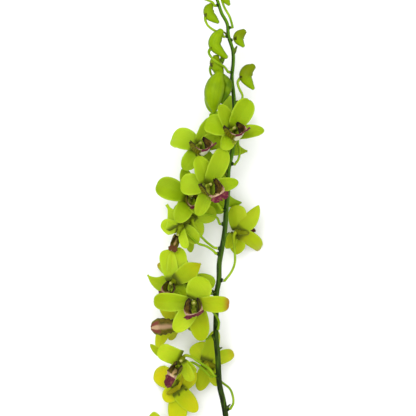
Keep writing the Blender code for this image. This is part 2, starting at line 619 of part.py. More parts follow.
def lip_surface(bloom):
    """The surface of a lip, which leaves the chin, runs forward under the column and bends down."""
    _, facing, down = frame_of(bloom)
    forward, drop, share, flare, twist = bloom["lip"]
    p0 = lip_root(bloom)
    p1, p2, p3 = [p0 + (facing * forward * out + down * (drop * low - LIP_RISE * rise)) * MM
                  for out, rise, low in LIP_MIDLINE]
    edge = down.cross(facing)

    def surface(along, side):
        point, tangent = bezier(p0, p1, p2, p3, along)
        wide = across(tangent, edge)
        up = wide.cross(tangent)
        width, roll = lip_profile(SPOON_PROFILE if bloom["name"] in SPOONS else LIP_PROFILE, along)
        width *= share * (1.0 + flare * (min(along, LIP_FLARE_END) - LIP_FLARE_MIDDLE))
        roll *= 1.0 - (bloom.get("open", 0.0) if side > 0 else 0.0)
        sideways, lift = rolled(LIP_WIDTH * MM / 2 * width, roll, side)
        turn = twist * max(along - LIP_TWIST_START, 0.0) / (1.0 - LIP_TWIST_START)
        return point + turned(wide, up, turn) * sideways + turned(up, -wide, turn) * lift

    return surface


def frame_of(bloom):
    """A bloom's centre, the way it faces and the way its lip hangs."""
    facing = heading(*bloom["facing"])
    down = across(facing, heading(*bloom["down"]))
    return place(*bloom["centre"]), facing, down


def rachis_run():
    """The rachis as a dense run of positions and radii."""
    rows = catmull(RACHIS, RACHIS_SMOOTHING)
    return [place(x, y, z) for x, y, z, _ in rows], [r * MM for _, _, _, r in rows]


def node_on_rachis(plan_y, towards):
    """Where a stalk leaves the rachis: the axis point, the outward direction and the rachis's radius."""
    points, radii = rachis_run()
    level = PLAN_MIDDLE_Y * MM - plan_y * MM
    best = min(range(1, len(points) - 1), key=lambda i: abs(points[i].y - level))
    axis = (points[best + 1] - points[best - 1]).normalized()
    return points[best], across(axis, towards - points[best]), radii[best]


def stalk_points(start, spec):
    """A pedicel's axis, from the bloom or bud to its seat on the rachis."""
    route = [start] + [place(*p) for p in spec["pedicel"]]
    axis_point, out, radius = node_on_rachis(spec["node"], route[-1])
    seat = axis_point + out * (radius + (BOSS_HEIGHT + SEAT_GAP) * MM)
    route.append(seat + out * SEAT_RUN * MM)
    smooth = [Vector(p) for p in catmull(route, STALK_SMOOTHING)]
    count = max(3, round(length_of(smooth) / (PEDICEL_STEP * MM)))
    return even(smooth, count) + [seat]


def rachis():
    """The rachis with a raised boss at each stalk and a slanted cut at its foot."""
    points, radii = rachis_run()
    extras = bpy.data.collections.new("bosses")
    bpy.context.scene.collection.children.link(extras)
    core = tube("rachis_core", points[::RACHIS_SMOOTHING], radii[::RACHIS_SMOOTHING], 2, PARTS)
    for spec in BLOOMS + BUDS:
        towards = place(*spec["pedicel"][-1])
        axis_point, out, radius = node_on_rachis(spec["node"], towards)
        top = axis_point + out * (radius + BOSS_HEIGHT * MM)
        wide = BOSS_RADIUS * MM * (BUD_BOSS_SHARE if spec in BUDS else 1.0)
        tube("boss", [axis_point, top], [wide * BOSS_FLARE, wide], 1, extras)
    for x, y, z, root_y, radius in BRACTS:
        tip = place(x, y, z)
        root, _, _ = node_on_rachis(root_y, tip)
        tube("bract", [root, tip], [radius * MM, radius * BRACT_TAPER * MM], 1, extras)
    made = fuse("rachis", core, extras)
    work = bmesh.new()
    work.from_mesh(made.data)
    where = place(*CUT_PLACE)
    cut = bmesh.ops.bisect_plane(
        work, geom=work.verts[:] + work.edges[:] + work.faces[:],
        plane_co=where, plane_no=heading(0.0, 1.0, CUT_SLOPE), clear_outer=True)
    rim = [edge for edge in cut["geom_cut"] if isinstance(edge, bmesh.types.BMEdge)]
    bmesh.ops.edgeloop_fill(work, edges=rim)
    bmesh.ops.recalc_face_normals(work, faces=work.faces)
    work.to_mesh(made.data)
    work.free()
    made.data.materials.append(material("stem"))


def bloom_body(bloom):
    """The green body of a bloom: tepals, receptacle, column, chin and stalk as one solid."""
    centre, facing, down = frame_of(bloom)
    name = bloom["name"]
    pieces = bpy.data.collections.new(name + "_pieces")
    bpy.context.scene.collection.children.link(pieces)
    laterals = 0
    for index, spec in enumerate(bloom["tepals"]):
        out = ROOT_OUT[spec["kind"]] + SECOND_LATERAL_OUT * (laterals if spec["kind"] == "lateral" else 0)
        laterals += spec["kind"] == "lateral"
        away = across(facing, place(*spec["tip"]) - centre)
        root = centre + (down * ROOT_DOWN[spec["kind"]] + facing * out + away * ROOT_AWAY) * MM
        grid = CUPPED_GRID if max(spec["cup"]) > CUPPED_FROM else bloom["grid"]
        blade(f"{name}_tepal_{index}", tepal_surface(root, spec, facing), grid, TEPAL_THICKNESS, pieces)
    hinge = lip_root(bloom) - facing * LIP_GAP * MM
    chin = centre + (down * CHIN_DOWN - facing * CHIN_BACK) * MM
    tube("chin", [centre, chin, hinge], [CHIN_RADIUS * share * MM for share in CHIN_TAPER], 1, pieces)
    column_tip = centre + (facing * COLUMN_LENGTH - down * COLUMN_RISE) * MM
    neck = centre - facing * NECK_BACK * MM
    stalk = stalk_points(neck, bloom)
    points = [column_tip, centre] + stalk
    radii = [COLUMN_RADIUS * MM, RECEPTACLE_RADIUS * MM, NECK_RADIUS * MM]
    radii += [PEDICEL_RADIUS * MM] * (len(stalk) - 1)
    core = tube(name + "_core", points, radii, 1, PARTS)
    made = fuse(name, core, pieces)
    made.data.materials.append(material("tepal_old" if name in OLD_BLOOMS else "tepal"))


def bloom_lip(bloom):
    """The three-lobed lip of a bloom."""
    grid = FRONT_LIP_GRID if bloom["grid"] == FRONT_GRID else BACK_LIP_GRID
    made = blade(bloom["name"] + "_lip", lip_surface(bloom), grid, LIP_THICKNESS, PARTS)
    made.data.materials.append(material("lip"))


def bud(spec):
    """A boot-shaped bud and its stalk as one solid."""
    name = spec["name"]
    pieces = bpy.data.collections.new(name + "_pieces")
    bpy.context.scene.collection.children.link(pieces)
    rows = catmull(spec["spine"], BUD_SMOOTHING)
    points = [place(x, y, z) for x, y, z, _ in rows]
    radii = [(r + BUD_SWELL) * MM for _, _, _, r in rows]
    core = tube(name + "_core", points, radii, 2, PARTS)
    middle = points[len(points) // 2]
    start = place(*spec["pedicel"][0]).lerp(middle, BUD_STALK_DEPTH)
    stalk = stalk_points(start, spec)
    share = BUD_STALK_SHARE if len(spec["pedicel"]) > 1 else SHORT_STALK_SHARE
    tube("stalk", stalk, [PEDICEL_RADIUS * share * MM] * len(stalk), 1, pieces)
    if "lobe" in spec:
        tube("lobe", [place(x, y, z) for x, y, z, _ in spec["lobe"]],
             [r * MM for _, _, _, r in spec["lobe"]], 2, pieces)
    made = fuse(name, core, pieces)
    made.data.materials.append(material("bud"))


for old in list(bpy.data.objects):
    bpy.data.objects.remove(old)
PARTS = bpy.data.collections.new("dendrobium_stem")
bpy.context.scene.collection.children.link(PARTS)

rachis()
for each in BLOOMS:
    bloom_body(each)
    bloom_lip(each)
for each in BUDS:
    bud(each)
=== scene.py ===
"""Looks of the dendrobium orchid stem: its blooms, lips, buds and rachis in fine form, on a pale floor."""
import math
from functools import partial
from types import SimpleNamespace

import bpy
import numpy as np
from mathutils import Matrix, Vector, noise


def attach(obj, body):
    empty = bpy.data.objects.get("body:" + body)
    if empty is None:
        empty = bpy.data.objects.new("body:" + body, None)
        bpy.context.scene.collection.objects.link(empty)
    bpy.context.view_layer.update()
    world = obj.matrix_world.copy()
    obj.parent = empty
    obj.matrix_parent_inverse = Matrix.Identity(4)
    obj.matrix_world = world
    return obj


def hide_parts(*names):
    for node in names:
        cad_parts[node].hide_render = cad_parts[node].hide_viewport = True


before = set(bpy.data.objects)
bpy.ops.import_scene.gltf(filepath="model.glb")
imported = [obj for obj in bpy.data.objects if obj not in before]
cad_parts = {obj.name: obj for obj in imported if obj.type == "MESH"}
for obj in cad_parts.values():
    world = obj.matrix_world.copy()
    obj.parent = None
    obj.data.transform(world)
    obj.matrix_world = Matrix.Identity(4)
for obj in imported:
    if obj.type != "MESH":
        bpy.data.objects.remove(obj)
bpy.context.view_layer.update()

MM = 0.001

# Positions are written on a plan, in millimetres: x to the right, y down the stem, z above the surface.
PLAN_MIDDLE_X = 205.2
PLAN_MIDDLE_Y = 246.8
UP = (0, 0, 1)
DOWN = (0, 0, -1)

# The heart of a bloom
NECK_BACK = 3.6
CHIN_RADIUS = 2.6
CHIN_DOWN = 11.0
CHIN_BACK = 3.4
CHIN_TAPER = (1.0, 0.85, 0.5)
LIP_ROOT_DOWN = 11.0
LIP_ROOT_OUT = 4.0
LIP_GAP = 0.45

# The column: its places from the heart to its tip with radii, and how deep its underside is hollowed
COLUMN_LENGTH = 9.0
COLUMN_RISE = 0.4
COLUMN_PROFILE = [(-0.30, 2.3), (-0.12, 2.9), (0.08, 2.8), (0.3, 2.0), (0.55, 1.75), (0.78, 1.95),
                  (0.92, 1.85), (1.0, 1.4)]
COLUMN_HOLLOW = 0.42
# The anther's cap: its place along the column, its rise, and its steps towards the face with radii
CAP_PLACE = 0.97
CAP_RISE = 0.35
CAP_PROFILE = [(-0.5, 1.35), (0.4, 1.55), (1.0, 1.05)]

# The stalks: how much thicker they are at the bloom and at the foot, and how deep their ribs are
PEDICEL_RADIUS = 1.2
SEAT_GAP = 0.3
SEAT_RUN = 1.6
OVARY_SWELL = 0.42
FOOT_SWELL = 0.22
STALK_RIBS = 0.07

# The buds: their seams are angles round the spine, with their depth as a share of the radius
BUD_SWELL = 0.9
BUD_STALK_DEPTH = 0.35
BUD_STALK_SHARE = 1.0
SHORT_STALK_SHARE = 0.7
SEAM_ANGLES = (0.5, 2.6, 4.7)
SEAM_DEPTH = 0.055

# The bosses and bracts of the rachis: places outwards or from root to tip, and shares of the radius
BOSS_RADIUS = 1.9
BOSS_HEIGHT = 1.3
BUD_BOSS_SHARE = 0.75
BOSS_PROFILE = [(0.3, 1.5), (0.62, 1.32), (0.8, 1.08), (0.92, 0.98), (0.97, 1.04), (1.0, 0.86)]
BRACT_PROFILE = [(0.0, 1.1), (0.3, 1.15), (0.6, 0.9), (0.85, 0.6), (1.0, 0.25)]

# The kinds of tepals: width at the root, place of the widest point, bluntness of the tip, and where the
# root lies from the bloom's centre, towards the lip and towards the face
KINDS = {
    "petal": (0.30, 0.58, 2.4, 0.0, 0.9),
    "dorsal": (0.50, 0.50, 1.9, -1.0, -0.9),
    "lateral": (0.70, 0.42, 2.0, 2.2, -1.8),
    "point": (0.80, 0.20, 0.80, -1.0, -0.9),
}
NARROWEST_TIP = 0.12
SECOND_LATERAL_OUT = -0.9
ROOT_AWAY = 1.7
FLAT_ROOT = 0.35

# The small forms of a tepal, in mm: its middle crease, its ribs, its slow lumps and the waves of its rim.
# Lumps and waves are as written on a tepal of WAVED_WIDTH, and grow with the width, from LEAST_WIDTH on.
CREASE_DEPTH = 0.32
RIB_HEIGHT = 0.025
LUMP_HEIGHT = 0.55
WAVE_HEIGHT = 0.9
WAVED_WIDTH = 20.0
LEAST_WIDTH = 14.0

# A lip from root to tip: place, half width as a share of its widest, roll of its sides in radians
LIP_WIDTH = 36.0
LIP_PROFILE = [
    (0.00, 0.14, 1.0), (0.10, 0.62, 2.0), (0.22, 1.08, 2.5), (0.44, 1.20, 2.75), (0.56, 1.00, 2.3),
    (0.64, 0.58, 1.2), (0.72, 0.46, 0.5), (0.84, 0.53, 0.2), (0.94, 0.46, 0.0), (1.00, 0.24, -0.1),
]
# A lip that has opened flat into a spoon
SPOON_PROFILE = [
    (0.00, 0.14, 0.8), (0.10, 0.36, 0.9), (0.30, 0.44, 0.9), (0.60, 0.53, 0.8), (0.78, 0.48, 0.7),
    (0.92, 0.30, 0.5), (1.00, 0.08, 0.3),
]
# The lip's midline: three steps from its root, as shares of its reach forward, of its rise towards
# the column, and of its reach down
LIP_RISE = 4.0
LIP_MIDLINE = [(0.25, -0.25, 0.0), (0.75, 1.1, 0.1), (1.0, 1.0, 1.0)]
# Places along a lip: where a widened one has its plain width, where it stops widening, where a twist starts
LIP_FLARE_MIDDLE = 0.4
LIP_FLARE_END = 0.56
LIP_TWIST_START = 0.45
# The small forms of a lip, in mm: keels at these places across, frilled rims, a waved front and wrinkles
KEEL_PLACES = (-0.13, 0.0, 0.13)
KEEL_HEIGHT = 0.75
FRILL_HEIGHT = 0.55
FRONT_HEIGHT = 0.5
WRINKLE_HEIGHT = 0.28
# The notches of its front edge, as a share of its length, and how wavy its outline is there
NOTCH_PLACES = (-0.35, 0.35)
NOTCH_DEPTH = 0.10
WAVED_OUTLINE = 0.07
SPOON_FRILL = 0.3

# How finely the pieces are made: rows and columns of blades, sides of tubes, pieces of a smooth run
# between two written points, and the rings of a dome with the share of the radius of its last one
TEPAL_SIZE = (30, 20)
LIP_SIZE = (46, 44)
COLUMN_SIDES = 22
CAP_SIDES = 18
CHIN_SIDES = 20
STALK_SIDES = 14
BUD_SIDES = 36
RACHIS_SIDES = 28
BOSS_SIDES = 20
BRACT_SIDES = 16
RACHIS_SMOOTHING = 3
BUD_SMOOTHING = 2
FINE_STEPS = 8
COLUMN_STEPS = 5
SHORT_STEPS = 4
PROFILE_STEPS = 10
STALK_RING_GAP = 1.6
DOME_RINGS = 5
LEAST_RING = 0.02

# The thickness of the blades in the middle and at the rim, how late they thin towards their rims and
# their tip, and how their columns crowd towards the rims
TEPAL_THICKNESS = (0.95, 0.34)
LIP_THICKNESS = (0.8, 0.3)
RIM_POWER = 6
TIP_POWER = 10
CROWDING = 0.86

# The looks of a lip and of a bud without looks of their own, as new_bloom and new_bud explain them
PLAIN_LIP = (0.6, 0.7, 0.4)
PLAIN_BUD = (0.1, 0.5, 1.6)
# How much the paleness of a bloom's tepals wanders
PALE_WOBBLE = 0.10

# The camera: the image is 416 mm of the plan wide, seen from straight above
IMAGE_MIDDLE = 208.0
IMAGE_WIDTH = 416.0
FOCAL_LENGTH = 400.0
SENSOR_WIDTH = 36.0
SHARP_HEIGHT = 35.0
# The sky: its strength at the horizon and overhead, and how fast it brightens between
SKY_LOW = 0.7
SKY_HIGH = 2.0
SKY_STEEPNESS = 3.0
# The lamps look at a point over the middle of the blooms; the floor's half width, in metres
LAMP_TARGET = (0.0, 0.04, 0.03)
LAMP_SIZE = 1.2
FLOOR_REACH = 6.0

# The rachis: plan x, plan y, height of its axis, and radius
RACHIS = [
    (204, -31, 33.5, 0.9), (208.5, -20, 34.5, 1.1), (213, -9, 35.5, 1.4), (217.5, 1, 36, 1.6),
    (221.5, 13, 36.5, 1.7), (227.2, 24, 37, 1.7), (228.4, 36, 37, 1.8), (232.6, 50, 37.5, 1.8),
    (233.2, 62, 38, 1.8), (231.8, 78, 38, 1.9), (233.4, 94, 38, 2), (234.3, 110, 38, 2.1),
    (234, 130, 38, 2.1), (232.5, 150, 38, 2.2), (228.4, 170, 38, 2.3), (228, 190, 37.5, 2.4),
    (226.2, 210, 37, 2.5), (224.8, 231, 36.5, 2.5), (221.8, 249, 36, 2.6), (219.3, 264, 35.5, 2.6),
    (219, 280, 35, 2.6), (216.6, 294, 34, 2.6), (216.2, 313, 33, 2.6), (216, 336, 31.3, 2.7),
    (217.8, 357, 29.3, 2.8), (219.4, 384, 26.3, 2.8), (223, 401, 24.2, 2.9), (225.6, 416, 22.2, 2.9),
    (228, 440, 18.7, 3), (228.8, 470, 13.7, 3.1), (227.5, 500, 8.2, 3.2), (225, 530, 3, 3.2),
]
# Small scales on the rachis: plan x, plan y and height of the tip, plan y of the root, and radius
BRACTS = [
    (237, 46, 38, 55, 1.6), (223.2, 31.5, 39, 36, 1.1), (222.6, 169.5, 41, 175.5, 1.5),
    (237.6, 100.5, 39.5, 105, 1.2), (229.5, 232, 38.5, 238, 1.3), (211.6, 290, 36, 295.5, 1.6),
    (222.2, 347.5, 31, 352.5, 1.3), (211.8, 335, 33.5, 340, 1.4), (230.5, 404.5, 25, 410.5, 1.3),
]
CUT_PLACE = (226.0, 526.0, 3.0)
CUT_SLOPE = 0.6


def tepal(kind, x, y, z, width, bow=(0.08, 0.10), cup=(0.3, 0.3), side=0.0, face=None, fill=None,
          blunt=None, paler=0.0, yellower=0.0, brown=0.0):
    """One tepal: its tip on the plan, its width in mm, and how it bends.

    bow lifts the first and the second third of its midline towards the face, as a share of its length.
    cup rolls its two halves towards the face, in radians at the edge, and side bends the midline sideways.
    face turns this tepal its own way, and fill is the share of its full width that it has at its root.
    blunt is how round its tip is, when it isn't as round as others of its kind. paler and yellower add to
    its bloom's tones, and brown is how brown its tip has turned.
    """
    return SimpleNamespace(kind=kind, tip=(x, y, z), width=width, bow=bow, cup=cup, side=side, face=face,
                           fill=fill, blunt=blunt, paler=paler, yellower=yellower, brown=brown)


def new_bloom(number, centre, facing, down, lip, node, pedicel, *tepals, pale, yellow, look=PLAIN_LIP,
              opened=0.0, calm=1.0, front=False, old=False, spoon=False):
    """One bloom: its centre, the way its face looks, the way its lip hangs, and its parts.

    lip has its reach forward and down, its share of the full width, how much it widens along it and how
    far its end is twisted, in radians. opened is how far one of its side lobes has opened, as a share of
    its roll, and a spoon is a lip that has opened flat. node is the plan y of the stalk's node, and pedicel
    is the stalk's way there.
    look says where the olive side lobe of the lip is (1 on the right of the view, 0 on the left), how
    purple its middle lobe is rather than brown, and how dark it is all over. pale and yellow say how pale
    the tepals are and how far they have turned yellow. All of these go from 0 to 1.
    calm is the share of its waves and lumps that a crowded bloom keeps, so that no rim crosses a neighbour.
    A bloom seen from the front has a pale chin and column. old is not used.
    """
    return SimpleNamespace(name=f"bloom_{number:02d}", centre=centre, facing=facing, down=down, lip=lip,
                           node=node, pedicel=pedicel, tepals=tepals, pale=pale, yellow=yellow, look=look,
                           opened=opened, calm=calm, front=front, old=old, spoon=spoon)


def new_bud(number, node, spine, pedicel, lobe=(), look=PLAIN_BUD):
    """One bud: the plan y of its stalk's node, its spine, and the stalk's way to the node.

    The spine runs from the rounded apex to the chin's point, with radii, and lobe is that of a second lobe.
    look says how bronze its upper part is, where that ends, and the size of the brown joint in mm.
    """
    return SimpleNamespace(name=f"bud_{number:02d}", node=node, spine=spine, pedicel=pedicel, lobe=lobe,
                           look=look)


petal, dorsal, lateral, pointed = (partial(tepal, kind) for kind in KINDS)
# The small lip of a bloom that faces away
AWAY_LIP = (10, 4, 0.42, 0.0, 0.0)

# The blooms from 1 to 17, and the buds from the lowest to the tip
BLOOMS = [
    new_bloom(
        1, (230.8, 132, 58), (0.42, -0.33, 0.85), (0.22, 0.97, 0), (21, 3, 1, 0, -0.4), 143,
        [(236, 136, 51), (238, 142, 45)],
        dorsal(219.5, 105.2, 62, 16.5, cup=(0.2, 0.3), fill=0.6), petal(205.4, 123.5, 56, 24.5, fill=0.5),
        petal(249, 100.3, 59, 21.5, fill=0.4, paler=-0.3), lateral(264, 130.8, 58, 15),
        lateral(222, 149.5, 64, 17, cup=(0.2, 0.9), paler=0.2),
        pale=0.3, yellow=0.15, look=(1, 1, 0), opened=0.28, front=True),
    new_bloom(
        2, (197.3, 147, 50), (0.42, -0.33, 0.85), (0.22, 0.97, 0), (21, 3, 1, 0, -0.4), 161,
        [(206, 151, 43), (216, 158, 38), (224, 161, 37.5)],
        dorsal(211.5, 117.5, 46, 14),
        petal(171.4, 139.5, 43, 26, bow=(0.12, 0.22), side=0.06, fill=0.6, paler=0.18),
        petal(225, 138, 47, 19, fill=0.5), lateral(183.5, 169.5, 50, 17.5, fill=0.6),
        lateral(213, 164, 45, 15, fill=0.8),
        pale=0.38, yellow=0.1, look=(1, 1, 0.1), opened=0.28, front=True),
    new_bloom(
        3, (207.2, 186.5, 61), (0.42, -0.17, 0.89), (0.25, 0.96, 0), (19, 12, 1, 0, -0.4), 211,
        [(213, 193, 54), (216, 201, 47), (220, 207, 41)],
        dorsal(197.5, 156.8, 64, 20.5, fill=0.5), petal(180.8, 184.5, 60, 23, fill=0.4),
        petal(224, 149.3, 60, 20.5, fill=0.5), lateral(238.2, 182, 60, 15, paler=-0.24),
        lateral(197.5, 215.5, 57, 16), pale=0.42, yellow=0.16, look=(1, 1, 0), opened=0.35, front=True),
    new_bloom(
        4, (188.5, 197.5, 40), (0.4, -0.15, 0.9), (0.25, 0.96, 0), (11, 5, 0.8, 0, -0.4), 221,
        [(192, 206, 34), (204, 213, 34), (216, 217, 36)],
        dorsal(183.5, 168, 38, 15), petal(156.6, 184.8, 43, 24, fill=0.4, paler=-0.2),
        petal(208, 181, 38, 18), lateral(176.5, 222, 47, 19, fill=0.9), lateral(203, 214, 38, 15),
        pale=0.34, yellow=0.14, look=(0.6, 0.8, 0.1), calm=0.2, front=True),
    new_bloom(
        5, (191.7, 219, 28), (-0.25, 0, -1), (-0.9, 0.4, 0), AWAY_LIP, 250,
        [(192.5, 222, 32), (197, 231, 35.5), (204, 239.6, 37), (213, 247, 36.5)],
        petal(216, 212, 27, 18), lateral(201, 237, 21, 21), petal(176, 205, 26, 17),
        dorsal(199, 194, 25, 14), lateral(185, 234, 24, 12), pale=0.85, yellow=0.24, calm=0.2),
    new_bloom(
        6, (236.8, 232, 24), (0.3, 0, -1), (1, 0.1, 0), (12, 8, 0.6, 0, 0), 280,
        [(233.6, 237, 29), (234.8, 251, 33), (234.8, 263, 35), (231, 272.5, 35.5)],
        petal(236.5, 205.3, 20, 19.5, fill=0.5, paler=0.3),
        lateral(259, 205.3, 22, 17, side=-0.05, fill=0.5, blunt=1.45, paler=0.14),
        lateral(258.5, 251, 0.37, 16, bow=(-0.1, -0.25), side=0.2, fill=0.8, blunt=1.5, paler=-0.16,
                yellower=0.35, brown=0.45), petal(236.3, 254.6, 16, 17.5, fill=0.6, blunt=1.6),
        dorsal(225.8, 248.5, 18, 13, blunt=1.6), pale=0.42, yellow=0.34, look=(0.5, 0.6, 0.9)),
    new_bloom(
        7, (180.5, 227.5, 39), (-0.31, 0.83, 0.44), (0, 0.1, -1), (20, 2, 0.5, 0, 0), 256,
        [(184, 230, 40), (197, 242.6, 40.5), (206, 246, 40.5), (213, 250.5, 39)],
        pointed(166.6, 204.5, 35, 27, face=UP, paler=0.3),
        petal(161, 227.5, 35, 17, face=(-0.3, 0.3, 1), side=0.12, fill=0.6, blunt=1.6, paler=0.5),
        petal(187.5, 247.5, 51, 12, face=(-1, 0, 1.2), cup=(0.4, 0.4), fill=0.6, paler=0.5),
        lateral(198, 243, 36, 15, side=-0.05, face=UP),
        lateral(190.5, 252.5, 20, 11, bow=(-0.08, -0.04), side=-0.1, face=UP),
        pale=0.5, yellow=0.2, look=(0.4, 0, 0), calm=0.15),
    new_bloom(
        8, (174, 281, 42), (-0.4, 0.3, 0.85), (-0.3, 0.9, -0.3), (13, 5, 0.72, 0.6, 0), 294,
        [(180, 284, 35), (194, 290, 33), (206, 293, 33)],
        petal(165.5, 250, 34, 17, face=UP, fill=0.8, paler=0.3),
        dorsal(179.5, 247.5, 33, 20, face=UP, fill=0.8, paler=0.3),
        petal(200.8, 263.6, 36, 19, face=UP, fill=0.6, blunt=1.15, paler=-0.5, yellower=0.2, brown=0.15),
        lateral(147.4, 274.8, 34, 17, bow=(-0.08, 0), face=(-0.2, 0.2, 1), side=-0.25, blunt=1.05),
        lateral(184.5, 301, 36, 15, face=UP, cup=(0.2, 0.6)),
        pale=0.34, yellow=0.28, look=(0.9, 0.6, 0.2), calm=0.2),
    new_bloom(
        9, (194, 302.5, 58), (0, 0.1, 1), (0.05, 1, 0), (14, 5, 0.95, 1, -0.5), 330,
        [(200, 305, 52), (208, 308, 46), (214, 313, 42), (218.8, 321, 39)],
        dorsal(203.5, 277, 56, 26, fill=0.6), petal(154, 300.5, 52, 19, fill=0.5, paler=-0.3),
        petal(229, 303.5, 50, 17, bow=(0.1, 0.25), fill=0.6, paler=-0.15, yellower=0.2, brown=0.85),
        lateral(175, 331, 54, 19, fill=0.9, paler=0.42),
        lateral(201, 340.5, 44, 20.5, side=-0.06, fill=0.9, paler=-0.6, yellower=0.2),
        pale=0.44, yellow=0.28, look=(0, 0.9, 0.1), front=True),
    new_bloom(
        10, (182, 324, 30), (-0.98, 0.1, -0.1), (0, 0.1, 1), (27, 0.5, 1, 0, 0), 339,
        [(187, 327, 30), (193, 331.5, 30), (201, 336.5, 30), (207, 339, 30.5)],
        lateral(160, 308.5, 12, 15, bow=(0.1, 0.1), face=DOWN),
        lateral(158, 350.5, 12, 15, bow=(0.15, 0.12), face=DOWN, side=-0.3, fill=0.8, paler=0.7),
        petal(183, 298, 22, 15, face=DOWN), petal(171, 341, 8, 12, face=(-0.6, 0, -1)),
        dorsal(204, 315, 20, 13, face=DOWN), pale=0.14, yellow=0.62, look=(0.6, 0, 0), old=True, spoon=True),
    new_bloom(
        11, (182.5, 358, 50), (-0.2, 0.3, 0.93), (-0.5, 0.86, 0), (11, 22, 0.66, 0.5, -1), 373,
        [(186, 355, 45), (192, 357, 43), (200, 362.5, 39.5), (210, 369.6, 35.5)],
        petal(158.5, 348, 53, 19, fill=0.9, cup=(0.2, 0.2), paler=0.3),
        dorsal(150.5, 343.8, 45, 10, side=-0.16, paler=-0.5), petal(192, 380.5, 46, 12),
        lateral(196, 371.5, 41, 10, cup=(0.2, 0.9)), lateral(168.5, 382, 41, 13),
        pale=0.62, yellow=0.34, look=(0.3, 0.9, 0.2)),
    new_bloom(
        12, (206.3, 364, 17), DOWN, (0.9, 0.3, 0), AWAY_LIP, 410,
        [(211, 371, 19), (221, 382, 19), (229.6, 389, 19), (233, 397, 19.5), (233.3, 404, 20.5)],
        petal(195.5, 344, 14, 21, fill=0.5), dorsal(217, 330.5, 14, 15, fill=0.8),
        petal(233.8, 353.5, 14, 14, fill=0.6, paler=-0.1, brown=0.35),
        lateral(199, 391.5, 12, 16, fill=0.8, paler=-0.8), lateral(217, 387, 12, 12),
        pale=0.85, yellow=0.52, old=True),
    new_bloom(
        13, (178.4, 388, 20), DOWN, (-0.87, 0.5, 0), AWAY_LIP, 378,
        [(182, 380, 26), (184.5, 368, 30), (192, 362.5, 32), (203, 369.5, 29.5), (211, 377, 26.5)],
        petal(155, 371.5, 0.41, 21, bow=(-0.05, -0.15), fill=0.5), lateral(164, 401.5, 17, 17, fill=0.8),
        petal(177, 424, 14, 20, fill=0.5, paler=-0.3, yellower=-0.1),
        lateral(197, 412.5, 14, 18, fill=0.8, paler=-0.3, yellower=-0.1), dorsal(195, 371, 15, 19, fill=0.8),
        pale=0.3, yellow=0.95, calm=0.2, old=True),
    new_bloom(
        14, (176, 446, 20), (-0.3, 0.3, 0.9), (-0.3, 0.9, 0), (11, 12, 0.8, 0, 0), 468,
        [(181, 451, 15), (195, 460, 12), (208, 465, 12), (219, 468, 12.5)],
        petal(151, 414.5, 8, 17), dorsal(177, 419, 5, 13), petal(203, 437, 16, 19),
        lateral(157, 467, 15, 14), lateral(187, 475, 15, 14), pale=0.3, yellow=0.6, calm=0, front=True),
    new_bloom(
        15, (231, 124, 22), DOWN, (-0.55, 0.83, 0), AWAY_LIP, 165,
        [(234, 130, 25), (238, 143, 29), (239.5, 152, 33), (238.5, 159, 36)],
        dorsal(228.5, 94, 0.38, 15, bow=(-0.1, -0.15), paler=0.25), petal(209, 116, 18, 17),
        petal(250, 108, 18, 17), lateral(247.5, 151, 24, 20, side=-0.5, blunt=1.3, paler=0.25, brown=0.12),
        lateral(212, 142, 18, 14), pale=0.36, yellow=0),
    new_bloom(
        16, (220, 188, 19), DOWN, (-0.9, 0.3, 0), AWAY_LIP, 189,
        [(218, 191, 24), (217, 194, 30), (220, 192, 35)],
        lateral(241.8, 202.5, 14, 12.5, side=-0.28, blunt=1.5), petal(206, 168, 16, 18),
        petal(217, 214, 16, 19), dorsal(225, 162, 16, 13), lateral(196, 195, 14, 14), pale=0.1, yellow=0.1),
    new_bloom(
        17, (188, 278, 20), DOWN, (-0.9, 0.3, 0), AWAY_LIP, 301,
        [(194, 283, 24), (204, 292, 28), (210, 298, 30)],
        petal(215, 284, 18, 16), lateral(157.3, 264.5, 0.4, 13, bow=(-0.1, -0.15), brown=0.6),
        petal(176, 256, 16, 16), lateral(172, 296, 16, 14), dorsal(204, 300, 14, 13), pale=0.75, yellow=0.2),
]
